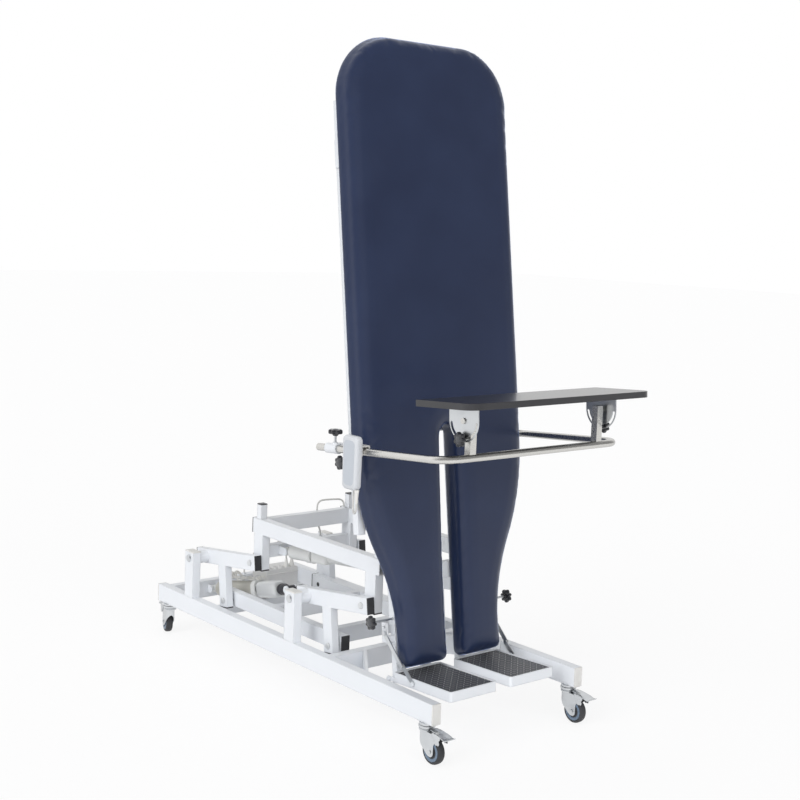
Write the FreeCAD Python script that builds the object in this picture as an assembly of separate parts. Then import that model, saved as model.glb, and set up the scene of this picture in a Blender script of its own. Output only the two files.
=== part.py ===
import FreeCAD, Part
import math
import os

# A tilt table for physiotherapy, standing upright. X is across the table, Y runs towards the head
# end of the base and Z is up. The origin is on the floor, on the middle plane, in line with the
# foot ends of the two base rails. All sizes are in millimetres and all angles in degrees.

Vec = FreeCAD.Vector
ORIGIN = Vec(0, 0, 0)
X_AXIS = Vec(1, 0, 0)
Y_AXIS = Vec(0, 1, 0)
Z_AXIS = Vec(0, 0, 1)

# Shared clearances and stock
tube_wall = 2.0
run_fit = 0.05
open_fit = 0.3
seat_gap = 0.3
side_gap = 0.5
cut_over = 5.0
cap_thick = 4.0
bolt_radius = 8.0
bolt_head_radius = 13.0
bolt_head_high = 6.0
pin_radius = 5.0

# Base
base_length = 1500.0
base_width = 600.0
rail_wide = 30.0
rail_high = 60.0
rail_bottom = 112.0
post_deep = 52.0
post_top = 330.0
head_cross_y = 1444.0
front_cross_y = 487.0
brace_foot_y = 338.0
brace_top_x = 160.0
brace_thick = 16.0
box_cross_y = 1214.0
box_cross_high = 30.0

# Cranks, with the pivots on the posts
head_pivot_y = 1296.0
pivot_pitch = 605.0
pivot_z = 309.0
crank_angle = 7.0
crank_inset = 67.0
crank_outer = base_width / 2 - crank_inset
crank_wide = 25.0
crank_high = 50.0
crank_tail = 55.0
crank_reach = 277.0
crank_nose = 30.0
crank_leg_at = 102.0
crank_leg_wide = 45.0
crank_leg_bolt = 146.0
crank_leg_bottom = 167.0
boss_radius = 22.5

# Link frame
bar_gap = 8.0
bar_outer = crank_outer - crank_wide - bar_gap
bar_wide = 30.0
bar_high = 50.0
link_front_y = 545.0
link_head_y = 1212.0
link_bottom = 157.0
link_front_cross_y = 620.0
link_rear_cross_y = 930.0

# Upper frame
upper_bottom = 438.0
upper_high = 50.0
upper_front_y = 375.0
upper_head_y = 1055.0
leg_deep = 50.0
leg_bottom = 318.0
head_tube_y = 1010.0
stub_side = 24.0
stub_high = 48.0
low_cross_y = 1005.0
low_cross_bottom = 356.0
low_cross_high = 41.0

# Tilting table top: a plane that leans back, through one point of the front face
lean = 7.5
face_y = 226.1
face_z = 201.6
pad_thick = 62.0
pad_half = 325.0
pad_top = 1862.0
pad_bottom = -20.0
pad_corner = 195.0
shoulder_at = 636.0
shoulder_radius = 720.0
hip_radius = 640.0
leg_half = 190.5
slot_half = 29.0
slot_top_at = 663.0
toe_corner = 25.0
board_thick = 12.0
board_inset = 8.0
guide_wide = 30.0
guide_deep = 25.0
guide_step = 7.0
guide_outer = bar_outer - guide_step
guide_inner = 85.0
guide_bottom = 110.0
inner_guide_bottom = 58.0
guide_top = 1740.0
cross_high = 50.0
tilt_y = 384.0
tilt_z = 512.0
tilt_pin_radius = 8.0
tilt_lug_radius = 18.0
table_lug_thick = 8.0
accessory_inset = 20.0
accessory_outer = pad_half - accessory_inset
accessory_side = 25.0
accessory_depth = 70.0
accessory_bottom = 395.0
accessory_top = 1660.0

# Actuators
lift_beside_bar = 60.0
lift_x = -(bar_outer - bar_wide - lift_beside_bar)
lift_rear_y = 1430.0
lift_rear_z = 144.0
lift_front_y = 955.0
lift_front_z = 250.0
tilt_motor_x = -107.0
tilt_rear_y = 975.0
tilt_rear_z = 377.0
lever_radius = 110.0
lever_angle = 41.0
eye_radius = 14.0
eye_wide = 28.0
ear_thick = 5.0
actuator_pin = 6.0

# Footrest
tray_inner = 28.0
tray_over_guide = 14.0
tray_outer = guide_outer + tray_over_guide
tray_front_y = 26.5
tray_back_y = 280.0
tray_bottom = 139.5
tray_slope = 2.5
tray_high = 30.0
tray_corner = 8.0
sheet_thick = 2.5
foot_hinge_y = 300.0
foot_hinge_z = 144.5
stay_eye_y = 322.0
stay_eye_z = 278.0
stay_jog_y = 240.0
stay_jog_z = 200.0
stay_foot_y = 190.0
stay_foot_z = 160.0
stay_thick = 3.0
stay_wide = 14.0
foot_knob_y = 312.0
foot_knob_z = 322.0
foot_knob_over = 82.0
foot_knob_x = guide_outer + foot_knob_over

# Tray with its rail
rail_radius = 11.0
rail_beside_pad = 25.0
rail_half_span = pad_half + rail_beside_pad
rail_rise = 4.5
rail_end_y = 492.0
rail_end_z = 824.0
rail_front_y = -62.0
rail_bend = 60.0
tray_pivot_y = -51.0
tray_pivot_z = 969.0
board_left_short = 5.0
board_right_over = 22.0
board_front = 112.0
board_back = 114.0
board_rise = 3.9
board_high = 18.0
board_above = 36.8
board_corner = 40.0
plate_radius = 58.0
post_inset = 100.0
post_x = rail_half_span - post_inset
plate_beside_post = 22.0
plate_x = post_x + plate_beside_post
plate_thick = 3.0
slot_radius = 50.0
slot_half_angle = 82.0
post_side = 22.0

# Castors
castor_x = (base_width - rail_wide) / 2
castor_foot_y = 35.0
castor_head_y = 1445.0
wheel_radius = 37.5
wheel_wide = 24.0
castor_trail = 32.0
pedal_reach = 125.0
cheek_foot = 13.5

# Star knobs
knob_radius = 20.0
knob_thick = 14.0
knob_lobes = 7
stem_radius = 4.0
knob_neck = 5.0

nodes = {}


def block(xs, ys, zs):
    """A box between the low and high value of each axis."""
    size = (abs(xs[1] - xs[0]), abs(ys[1] - ys[0]), abs(zs[1] - zs[0]))
    return Part.makeBox(size[0], size[1], size[2], Vec(min(xs), min(ys), min(zs)))


def round_uprights(shape, radius):
    """Rounds the upright edges of a block."""
    edges = [edge for edge in shape.Edges if abs(edge.tangentAt(edge.FirstParameter).z) > 0.9]
    return shape.makeFillet(radius, edges)


def grown(pair, amount):
    return (min(pair) - amount, max(pair) + amount)


def span(start, length):
    return (start, start + length)


def about(middle, width):
    return (middle - width / 2, middle + width / 2)


def box_tube(xs, ys, zs, along):
    """A rectangular tube with open ends; along names the axis that it runs on."""
    walls = {name: -tube_wall for name in "xyz"}
    walls[along] = cut_over
    inner = block(grown(xs, walls["x"]), grown(ys, walls["y"]), grown(zs, walls["z"]))
    return block(xs, ys, zs).cut(inner)


def cylinder(start, end, radius):
    """A round bar from one point to another."""
    way = end.sub(start)
    return Part.makeCylinder(radius, way.Length, start, way)


def cross_bar(x_from, x_to, y, z, radius):
    """A round bar across the table, between two places on X."""
    return cylinder(Vec(x_from, y, z), Vec(x_to, y, z), radius)


def union(shapes):
    whole = shapes[0]
    for shape in shapes[1:]:
        whole = whole.fuse(shape)
    return whole.removeSplitter()


def cut_all(shape, tools):
    for tool in tools:
        shape = shape.cut(tool)
    return shape


def turned(shape, centre, axis, angle):
    result = shape.copy()
    result.rotate(centre, axis, angle)
    return result


def moved(shape, offset):
    result = shape.copy()
    result.translate(offset)
    return result


def other_side(shape):
    return shape.mirror(ORIGIN, X_AXIS)


def both_sides(shapes):
    return list(shapes) + [other_side(shape) for shape in shapes]


def solids_of(shapes):
    found = []
    for shape in shapes:
        found.extend(shape.Solids)
    return found


def keep(name, shapes):
    """Stores a node as one solid or a group of separate solids."""
    solids = solids_of(shapes)
    nodes[name] = solids[0] if len(solids) == 1 else Part.makeCompound(solids)


def on_table(shape):
    """Takes a shape from the table's own upright frame to its leaning place.

    In that frame y is the depth behind the front face of the pad and z runs up the pad.
    """
    leaned = turned(shape, ORIGIN, X_AXIS, -lean)
    return moved(leaned, Vec(0, face_y, face_z))


def to_table(y, z):
    """Depth and height in the table's own frame of a point at y and z."""
    tilt = math.radians(lean)
    depth = (y - face_y) * math.cos(tilt) - (z - face_z) * math.sin(tilt)
    height = (y - face_y) * math.sin(tilt) + (z - face_z) * math.cos(tilt)
    return depth, height


def dome_head(x_face, y, z, outward, radius=bolt_head_radius, high=bolt_head_high):
    """A low domed bolt head on a face that looks along X."""
    base = cross_bar(x_face, x_face + outward * high, y, z, radius)
    rim = [edge for edge in base.Edges if abs(edge.CenterOfMass.x - x_face) > high / 2]
    return base.makeFillet(high * 0.8, rim)


def star_knob(centre, outward, stem_length):
    """A lobed knob whose stem runs inwards from its middle."""
    axis = Vec(outward)
    axis.normalize()
    side = axis.cross(Y_AXIS if abs(axis.y) < 0.5 else X_AXIS)
    low = centre.sub(axis * (knob_thick / 2))
    lobe_radius = knob_radius * 0.3
    disc = Part.makeCylinder(knob_radius * 0.82, knob_thick, low, axis)
    pieces = [disc]
    for index in range(knob_lobes):
        place = side * (knob_radius - lobe_radius)
        lobe = Part.makeCylinder(lobe_radius, knob_thick, low.add(place), axis)
        pieces.append(turned(lobe, centre, axis, 360 * index / knob_lobes))
    pieces.append(Part.makeCylinder(knob_radius * 0.45, knob_neck, low.sub(axis * knob_neck), axis))
    pieces.append(Part.makeCylinder(stem_radius, stem_length, low.sub(axis * stem_length), axis))
    return union(pieces)


# Base frame


def make_base():
    half = base_width / 2
    rail_xs = (half - rail_wide, half)
    rail_zs = span(rail_bottom, rail_high)
    rail_top = rail_zs[1]
    rail = box_tube(rail_xs, (0, base_length), rail_zs, "y")
    keep("base_rails", both_sides([rail]))

    post_places = [head_pivot_y, head_pivot_y - pivot_pitch]
    posts = []
    caps = []
    for y in post_places:
        ys = about(y, post_deep)
        post = box_tube(rail_xs, ys, (rail_top, post_top), "z")
        hole = cross_bar(rail_xs[0] - cut_over, half + cut_over, y, pivot_z, bolt_radius)
        posts.append(post.cut(hole))
        caps.append(block(rail_xs, ys, span(post_top, cap_thick)))
    keep("base_posts", both_sides(posts))
    inner_xs = grown(rail_xs, -tube_wall - seat_gap)
    inner_zs = grown(rail_zs, -tube_wall - seat_gap)
    plug_depth = rail_wide
    for end, inward in ((0, 1), (base_length, -1)):
        plate = block(rail_xs, (end - inward * cap_thick, end), rail_zs)
        core = block(inner_xs, (end, end + inward * plug_depth), inner_zs)
        caps.append(plate.fuse(core))
    keep("base_caps", both_sides(caps))

    inner = half - rail_wide
    head_ys = span(head_cross_y, rail_wide)
    head = box_tube((-inner, inner), head_ys, rail_zs, "x")
    ears = []
    for x_mid in (lift_x - eye_wide / 2 - side_gap - ear_thick / 2,
                  lift_x + eye_wide / 2 + side_gap + ear_thick / 2):
        xs = about(x_mid, ear_thick)
        arm = block(xs, (lift_rear_y, head_cross_y), about(lift_rear_z, 2 * eye_radius))
        nose = cross_bar(xs[0], xs[1], lift_rear_y, lift_rear_z, eye_radius)
        hole = cross_bar(xs[0] - cut_over, xs[1] + cut_over, lift_rear_y, lift_rear_z, actuator_pin)
        ears.append(arm.fuse(nose).cut(hole))
    head = union([head] + ears)
    pin_half = eye_wide / 2 + side_gap + ear_thick
    lift_pin = cross_bar(lift_x - pin_half, lift_x + pin_half, lift_rear_y, lift_rear_z, actuator_pin)

    front = box_tube((-inner, inner), span(front_cross_y, rail_wide), rail_zs, "x")
    braces = [brace(inner, rail_zs)]
    box_cross_zs = span(rail_bottom, box_cross_high)
    box_cross = box_tube((-inner, inner), span(box_cross_y, box_cross_high), box_cross_zs, "x")
    head = union([head] + [grommet(Vec(x, head_cross_y + rail_wide / 2, rail_top)) for x in lead_ends_x])
    keep("base_cross_members", [head, lift_pin, front, box_cross] + both_sides(braces))

    bolts = []
    for y in post_places:
        shank = cross_bar(crank_outer - crank_wide - bolt_head_high, half, y, pivot_z, bolt_radius)
        head_piece = dome_head(half, y, pivot_z, 1)
        nut_end = crank_outer - crank_wide - side_gap
        nut = cross_bar(nut_end - bolt_head_high, nut_end, y, pivot_z, bolt_head_radius)
        bolts.append(union([shank, head_piece, nut]))
    return both_sides(bolts)


def grommet(place):
    """A short collar on a level face, where a lead goes into the tube below."""
    return Part.makeCylinder(lead_radius * 2, grommet_high, place)


def brace(inner, zs):
    """A flat brace from the front cross member out to the rail."""
    start = Vec(brace_top_x, front_cross_y, zs[0])
    end = Vec(inner, brace_foot_y, zs[0])
    along = Vec(0, brace_thick, 0)
    corners = [start, start.sub(X_AXIS * brace_thick), end.sub(along), end, start]
    face = Part.Face(Part.makePolygon(corners))
    return face.extrude(Z_AXIS * (zs[1] - zs[0]))


# Control box on its cross tube, and the leads from it

box_left = -42.0
box_right = 97.0
box_front_y = 1200.0
box_deep = 90.0
box_low = 180.0
box_high = 66.0
box_corner = 6.0
socket_count = 5
socket_side = 14.0
socket_pitch = 24.0
boot_radius = 6.5
boot_high = 26.0
lead_radius = 3.0
grommet_high = 4.0
lead_ends_x = (36.0, 104.0)
frame_lead_from_x = 64.0
frame_lead_to_x = 160.0
frame_lead_y = 1029.0


def make_control_box():
    ys = span(box_front_y, box_deep)
    case = block((box_left, box_right), ys, span(box_low, box_high))
    upright = [edge for edge in case.Edges if abs(edge.tangentAt(edge.FirstParameter).z) > 0.9]
    case = case.makeFillet(box_corner, upright)
    ledge_high = box_high * 0.18
    ledge = block((box_left + box_corner, box_right - box_corner),
                  (box_front_y - side_gap, box_front_y + box_deep * 0.3),
                  span(box_low + box_high - ledge_high, ledge_high * 1.4))
    foot_top = box_low
    feet_zs = (rail_bottom + box_cross_high, foot_top)
    feet = []
    for x in (box_left + box_deep * 0.2, box_right - box_deep * 0.2):
        foot_ys = about(box_cross_y + box_cross_high / 2, socket_side)
        feet.append(block(about(x, socket_side), foot_ys, feet_zs))
    sockets = []
    first_x = (box_left + box_right) / 2 - socket_pitch * (socket_count - 1) / 2
    top = box_low + box_high + ledge_high * 0.4
    for index in range(socket_count):
        x = first_x + index * socket_pitch
        place = about(box_front_y + box_deep * 0.14, socket_side)
        sockets.append(block(about(x, socket_side), place, (top - ledge_high, top + cut_over)))
    case = union([case, ledge] + feet)
    floor_z = top - ledge_high
    case = cut_all(case, sockets[-2:])
    plugs = []
    for index in (socket_count - 2, socket_count - 1):
        x = first_x + index * socket_pitch
        y = box_front_y + box_deep * 0.14
        core = block(about(x, socket_side - 2 * seat_gap), about(y, socket_side - 2 * seat_gap),
                     (floor_z, top + seat_gap))
        boot = Part.makeCone(boot_radius, lead_radius * 1.3, boot_high, Vec(x, y, top + seat_gap))
        plugs.append(core.fuse(boot))
    keep("control_box", [case] + plugs)


# Castors


def castor(place, heading):
    """The four pieces of one castor: fixed top, fork, wheel and pedal."""
    race_radius = rail_wide * 0.75
    top_low = rail_bottom - cap_thick * 1.5
    king_low = top_low - cap_thick * 4.5
    top = Part.makeCylinder(race_radius, rail_bottom - top_low, Vec(0, 0, top_low))
    king = Part.makeCylinder(pin_radius, top_low - king_low, Vec(0, 0, king_low))
    nut = Part.makeCylinder(bolt_radius, cap_thick, Vec(0, 0, king_low))
    fixed = union([top, king, nut])

    crown_low = king_low + cap_thick + side_gap
    crown_thick = cap_thick
    race_low = crown_low + crown_thick
    fork_half = wheel_wide / 2 + 2 * side_gap
    fork_outer = fork_half + sheet_thick
    race = Part.makeCone(race_radius * 0.8, race_radius, top_low - side_gap - race_low, Vec(0, 0, race_low))
    crown_ys = (-castor_trail * 1.25, race_radius * 0.8)
    crown = block((-fork_outer, fork_outer), crown_ys, span(crown_low, crown_thick))
    cheeks = []
    axle_z = wheel_radius
    for side in (-1, 1):
        xs = (side * fork_half, side * fork_outer)
        corners = [Vec(xs[0], race_radius * 0.8, crown_low), Vec(xs[0], -castor_trail * 1.25, crown_low),
                   Vec(xs[0], -castor_trail - cheek_foot, axle_z),
                   Vec(xs[0], -castor_trail + cheek_foot, axle_z)]
        corners.append(corners[0])
        cheek = Part.Face(Part.makePolygon(corners)).extrude(X_AXIS * (xs[1] - xs[0]))
        eye = cross_bar(xs[0], xs[1], -castor_trail, axle_z, cheek_foot)
        cheeks.append(cheek.fuse(eye))
    axle_half = fork_outer + cap_thick / 2
    axle = cross_bar(-axle_half, axle_half, -castor_trail, axle_z, pin_radius)
    fork = union([race, crown, axle] + cheeks)
    king_hole = Part.makeCylinder(pin_radius + run_fit, rail_bottom, ORIGIN)
    below_crown = block(about(0, 2 * rail_wide), about(0, 2 * rail_wide), (0, crown_low - cap_thick))
    fork = fork.cut(king_hole.cut(below_crown))
    pedal_y = -castor_trail * 1.25
    ear_z = crown_low
    pin_length = fork_outer * 2
    pedal_pin = cross_bar(-pin_length / 2, pin_length / 2, pedal_y - pin_radius, ear_z, sheet_thick)
    ears = []
    for side in (-1, 1):
        xs = (side * fork_half, side * fork_outer)
        ear_ys = (pedal_y - 2 * pin_radius, pedal_y + pin_radius)
        ears.append(block(xs, ear_ys, about(ear_z, 2 * pin_radius)))
    fork = union([fork, pedal_pin] + ears)

    tread = cross_bar(-wheel_wide / 2, wheel_wide / 2, -castor_trail, axle_z, wheel_radius)
    rims = [edge for edge in tread.Edges if edge.Curve.TypeId == "Part::GeomCircle"]
    tread = tread.makeFillet(wheel_wide * 0.25, rims)
    wheel = tread.cut(cross_bar(-wheel_wide, wheel_wide, -castor_trail, axle_z, pin_radius + run_fit))
    recess = wheel_wide * 0.15
    for side in (-1, 1):
        ring = cross_bar(side * (wheel_wide / 2 - recess), side * wheel_wide, -castor_trail, axle_z,
                         wheel_radius * 0.62)
        hub = cross_bar(side * (wheel_wide / 2 - recess), side * wheel_wide, -castor_trail, axle_z,
                        wheel_radius * 0.3)
        wheel = wheel.cut(ring.cut(hub))

    arm_half = fork_half - side_gap
    barrel = cross_bar(-arm_half, arm_half, pedal_y - pin_radius, ear_z, pin_radius)
    blade_z = ear_z + pin_radius - sheet_thick
    neck_end = -pedal_reach * 0.62
    neck = block((-arm_half, arm_half), (pedal_y - pin_radius, neck_end), span(blade_z, sheet_thick))
    tip = block((-fork_outer, fork_outer), (neck_end, -pedal_reach), span(blade_z, sheet_thick * 2))
    pedal = union([barrel, neck, tip])
    pedal = pedal.cut(cross_bar(-wheel_wide, wheel_wide, pedal_y - pin_radius, ear_z, sheet_thick + run_fit))
    placed = []
    for piece in (fixed, fork, wheel, pedal):
        placed.append(moved(turned(piece, ORIGIN, Z_AXIS, heading), place))
    return placed


castor_headings = {"foot_left": 0.0, "foot_right": 0.0, "head_left": 162.0, "head_right": 160.0}


def make_castors():
    tops = []
    for name, heading in castor_headings.items():
        x = -castor_x if name.endswith("left") else castor_x
        y = castor_foot_y if name.startswith("foot") else castor_head_y
        fixed, fork, wheel, pedal = castor(Vec(x, y, 0), heading)
        tops.append(fixed)
        keep("castor_fork_" + name, [fork])
        keep("castor_wheel_" + name, [wheel])
        keep("castor_pedal_" + name, [pedal])
    return tops


# Cranks, link frame and upper frame


def crank_point(pivot_y, along, down):
    """A point on a crank at rest, measured along its arm and down at right angles to it."""
    angle = math.radians(crank_angle)
    y = pivot_y - along * math.cos(angle) - down * math.sin(angle)
    z = pivot_z + along * math.sin(angle) - down * math.cos(angle)
    return y, z


def make_cranks():
    inner = crank_outer - crank_wide
    xs = (inner, crank_outer)
    post_inner = base_width / 2 - rail_wide
    half_high = crank_high / 2
    for name, pivot_y in (("rear", head_pivot_y), ("front", head_pivot_y - pivot_pitch)):
        centre = Vec(0, pivot_y, pivot_z)
        arm_ys = (pivot_y - crank_reach - crank_nose, pivot_y + crank_tail)
        arm = box_tube(xs, arm_ys, about(pivot_z, crank_high), "y")
        leg_zs = (pivot_z - crank_leg_bottom, pivot_z - half_high)
        leg = box_tube(xs, about(pivot_y - crank_leg_at, crank_leg_wide), leg_zs, "z")
        boss = cross_bar(inner, post_inner - side_gap, pivot_y, pivot_z, boss_radius)
        bore = cross_bar(0, base_width, pivot_y, pivot_z, bolt_radius + run_fit)
        lift_hole = cross_bar(0, base_width, pivot_y - crank_reach, pivot_z, bolt_radius)
        leg_hole = cross_bar(0, base_width, pivot_y - crank_leg_at, pivot_z - crank_leg_bolt, bolt_radius)
        crank = cut_all(union([arm, leg, boss]), [bore, lift_hole, leg_hole])
        keep("crank_" + name, both_sides([turned(crank, centre, X_AXIS, -crank_angle)]))

        nose = block(xs, (arm_ys[0] - cap_thick, arm_ys[0]), about(pivot_z, crank_high))
        tail = block(xs, (arm_ys[1], arm_ys[1] + cap_thick), about(pivot_z, crank_high))
        foot = block(xs, about(pivot_y - crank_leg_at, crank_leg_wide), (leg_zs[0] - cap_thick, leg_zs[0]))
        fittings = [nose, tail, foot]
        for y, z in ((pivot_y - crank_reach, pivot_z), (pivot_y - crank_leg_at, pivot_z - crank_leg_bolt)):
            shank = cross_bar(bar_outer - bar_wide, crank_outer, y, z, bolt_radius)
            head = dome_head(crank_outer, y, z, 1, bolt_head_radius * 0.8)
            washer = cross_bar(bar_outer + side_gap, inner, y, z, bolt_head_radius)
            fittings.append(union([shank, head, washer]))
        turned_fittings = [turned(piece, centre, X_AXIS, -crank_angle) for piece in fittings]
        keep("crank_%s_fittings" % name, both_sides(turned_fittings))


def pivot_holes(along, down):
    """Bores for the crank pins: a running fit on the head pair, an open fit on the front pair."""
    holes = []
    for pivot_y, fit in ((head_pivot_y, run_fit), (head_pivot_y - pivot_pitch, open_fit)):
        y, z = crank_point(pivot_y, along, down)
        holes.append(cross_bar(0, base_width, y, z, bolt_radius + fit))
    return holes


def make_link_frame():
    bar_xs = (bar_outer - bar_wide, bar_outer)
    zs = span(link_bottom, bar_high)
    bar = box_tube(bar_xs, (link_front_y + cap_thick, link_head_y), zs, "y")
    bar = cut_all(bar, pivot_holes(crank_leg_at, crank_leg_bolt))
    keep("link_bars", both_sides([bar]))
    inner = bar_outer - bar_wide
    front = box_tube((-inner, inner), span(link_front_cross_y, bar_wide), zs, "x")
    rear = box_tube((-inner, inner), span(link_rear_cross_y, bar_wide), zs, "x")
    plates = []
    gap_half = eye_wide / 2 + side_gap
    for side in (-1, 1):
        xs = (lift_x + side * gap_half, lift_x + side * (gap_half + ear_thick))
        plate = block(xs, span(link_rear_cross_y, bar_wide), (zs[1], lift_front_z))
        nose = cross_bar(min(xs), max(xs), lift_front_y, lift_front_z, eye_radius)
        nut = cross_bar(xs[1], xs[1] + side * ear_thick, lift_front_y, lift_front_z, bolt_radius)
        plates.append(union([plate, nose, nut]))
    keep("link_cross_tubes", [front, union([rear] + plates)])
    front_cap = block(bar_xs, span(link_front_y, cap_thick), zs)
    head_cap = block(bar_xs, span(link_head_y, cap_thick), zs)
    keep("link_caps", both_sides([front_cap, head_cap]))


def make_upper_frame():
    xs = (bar_outer - bar_wide, bar_outer)
    rail_zs = span(upper_bottom, upper_high)
    rail_top = rail_zs[1]
    rail = box_tube(xs, (upper_front_y, upper_head_y), rail_zs, "y")
    pieces = [rail]
    leg_caps = []
    for along_pivot in (head_pivot_y, head_pivot_y - pivot_pitch):
        y, z = crank_point(along_pivot, crank_reach, 0)
        ys = about(y, leg_deep)
        pieces.append(box_tube(xs, ys, (leg_bottom, upper_bottom), "z"))
        leg_caps.append(block(xs, ys, (leg_bottom - cap_thick, leg_bottom)))
    lug_half = bar_wide / 2 - tube_wall
    lug_xs = about((xs[0] + xs[1]) / 2, 2 * lug_half)
    lug = block(lug_xs, about(tilt_y, 2 * tilt_lug_radius), (rail_top, tilt_z))
    lug_nose = cross_bar(lug_xs[0], lug_xs[1], tilt_y, tilt_z, tilt_lug_radius)
    lug = lug.fuse(lug_nose).cut(block(lug_xs, (0, upper_front_y), (rail_top, tilt_z)))
    pieces.append(lug)
    stub_xs = about((xs[0] + xs[1]) / 2, stub_side)
    stub_ys = about(head_tube_y + bar_wide / 2, stub_side)
    pieces.append(box_tube(stub_xs, stub_ys, span(rail_top, stub_high), "z"))
    side = union(pieces)
    side = side.cut(cross_bar(0, base_width, tilt_y, tilt_z, tilt_pin_radius))
    side = cut_all(side, pivot_holes(crank_reach, 0))
    keep("upper_side_frames", both_sides([side]))

    inner = xs[0]
    head = box_tube((-inner, inner), span(head_tube_y, bar_wide), rail_zs, "x")
    low_zs = span(low_cross_bottom, low_cross_high)
    low = box_tube((-inner, inner), span(low_cross_y, bar_wide), low_zs, "x")
    ears = []
    gap_half = eye_wide / 2 + side_gap
    for sign in (-1, 1):
        ear_xs = (tilt_motor_x + sign * gap_half, tilt_motor_x + sign * (gap_half + ear_thick))
        arm = block(ear_xs, (tilt_rear_y, low_cross_y), about(tilt_rear_z, 2 * eye_radius))
        nose = cross_bar(min(ear_xs), max(ear_xs), tilt_rear_y, tilt_rear_z, eye_radius)
        ears.append(arm.fuse(nose))
    low = union([low] + ears)
    low = low.cut(cross_bar(-inner, inner, tilt_rear_y, tilt_rear_z, actuator_pin))
    pin_half = gap_half + ear_thick
    pin = cross_bar(tilt_motor_x - pin_half, tilt_motor_x + pin_half, tilt_rear_y, tilt_rear_z, actuator_pin)
    head = head.fuse(grommet(Vec(frame_lead_to_x, head_tube_y + bar_wide / 2, rail_top)))
    low = low.fuse(grommet(Vec(frame_lead_from_x, frame_lead_y, low_zs[1])))
    keep("upper_cross_tubes", [head, low, pin])

    stub_cap = block(stub_xs, stub_ys, span(rail_top + stub_high, cap_thick - side_gap))
    end_cap = block(xs, span(upper_head_y, cap_thick), rail_zs)
    keep("upper_caps", both_sides(leg_caps + [stub_cap, end_cap]))
    pin_inner = guide_outer - guide_wide - bolt_head_high
    shank = cross_bar(pin_inner, bar_outer, tilt_y, tilt_z, tilt_pin_radius)
    head_out = dome_head(lug_xs[1], tilt_y, tilt_z, 1)
    shank = shank.common(block((0, lug_xs[1] + side_gap), (0, base_length), (0, base_length)))
    nut = cross_bar(pin_inner, guide_outer - guide_wide - side_gap, tilt_y, tilt_z, bolt_head_radius)
    keep("tilt_pins", both_sides([union([shank, head_out, nut])]))


# Actuators


def actuator(x, rear, front, barrel_radius, marks, rod_radius, stroke):
    """A linear actuator between two pins, as its body and its rod, both on the line of the pins.

    marks are the distances from the rear pin to the barrel's start and end, the collar's end,
    the gearbox's end and the nose.
    """
    way = front.sub(rear)
    length = way.Length
    barrel_from, barrel_to, collar_to, gear_to, nose_to = marks
    angle = math.degrees(math.atan2(-way.z, -way.y))
    half_eye = eye_wide / 2
    start = Vec(x, 0, 0)

    def along(low, high, radius):
        return cylinder(Vec(x, -low, 0), Vec(x, -high, 0), radius)

    eye = cylinder(Vec(x - half_eye, 0, 0), Vec(x + half_eye, 0, 0), eye_radius)
    neck = block(about(x, eye_wide * 0.6), (-barrel_from - cap_thick, 0), about(0, eye_radius * 1.4))
    barrel = along(barrel_from, barrel_to, barrel_radius)
    rims = [edge for edge in barrel.Edges if edge.Curve.TypeId == "Part::GeomCircle"]
    barrel = barrel.makeFillet(barrel_radius * 0.15, rims)
    collar = along(barrel_to - cap_thick, collar_to, barrel_radius * 1.08)
    gear_ys = (-gear_to, -collar_to)
    gear_half = barrel_radius * 0.86
    gearbox = block((x - gear_half, x + gear_half), gear_ys, (-gear_half, gear_half))
    gearbox = gearbox.makeFillet(gear_half * 0.45, gearbox.Edges)
    link = along(collar_to - cap_thick, nose_to, barrel_radius * 0.6)
    body = union([eye, neck, barrel, collar, gearbox, link])
    rear_bore = cylinder(Vec(x - eye_wide, 0, 0), Vec(x + eye_wide, 0, 0), actuator_pin + run_fit)
    rod_bore = along(nose_to - stroke - 2 * eye_wide, length, rod_radius + run_fit)
    body = cut_all(body, [rear_bore, rod_bore])

    rod = along(nose_to - stroke - eye_wide, length - eye_radius * 0.5, rod_radius)
    front_eye = cylinder(Vec(x - half_eye, -length, 0), Vec(x + half_eye, -length, 0), eye_radius)
    rod = union([rod, front_eye])
    placed = []
    for piece in (body, rod):
        tilted = turned(piece, start, X_AXIS, angle)
        placed.append(moved(tilted, Vec(0, rear.y, rear.z)))
    return placed


lift_barrel_radius = 30.0
lift_marks = (26.0, 245.0, 292.0, 395.0, 428.0)
lift_rod_radius = 10.0
lift_stroke = 108.0
tilt_barrel_radius = 24.0
tilt_marks = (26.0, 120.0, 150.0, 235.0, 440.0)
tilt_rod_radius = 10.0
tilt_stroke = 160.0


def lever_pin():
    """Where the tilt lever's pin lies, swung back from straight below the tilt pivot."""
    angle = math.radians(lever_angle)
    return Vec(0, tilt_y + lever_radius * math.sin(angle), tilt_z - lever_radius * math.cos(angle))


def make_actuators():
    rear = Vec(0, lift_rear_y, lift_rear_z)
    front = Vec(0, lift_front_y, lift_front_z)
    body, rod = actuator(lift_x, rear, front, lift_barrel_radius, lift_marks, lift_rod_radius, lift_stroke)
    keep("lift_motor", [body])
    keep("lift_rod", [rod])
    rear = Vec(0, tilt_rear_y, tilt_rear_z)
    body, rod = actuator(tilt_motor_x, rear, lever_pin(), tilt_barrel_radius, tilt_marks,
                         tilt_rod_radius, tilt_stroke)
    keep("tilt_motor", [body])
    keep("tilt_rod", [rod])


# Table top


def quarter(start, end, centre, radius):
    """An arc from start to end about a centre, through the middle of its shorter way round."""
    middle = start.add(end) * 0.5
    way = middle.sub(centre)
    way.normalize()
    return Part.Arc(start, centre.add(way * radius), end).toShape()


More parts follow.
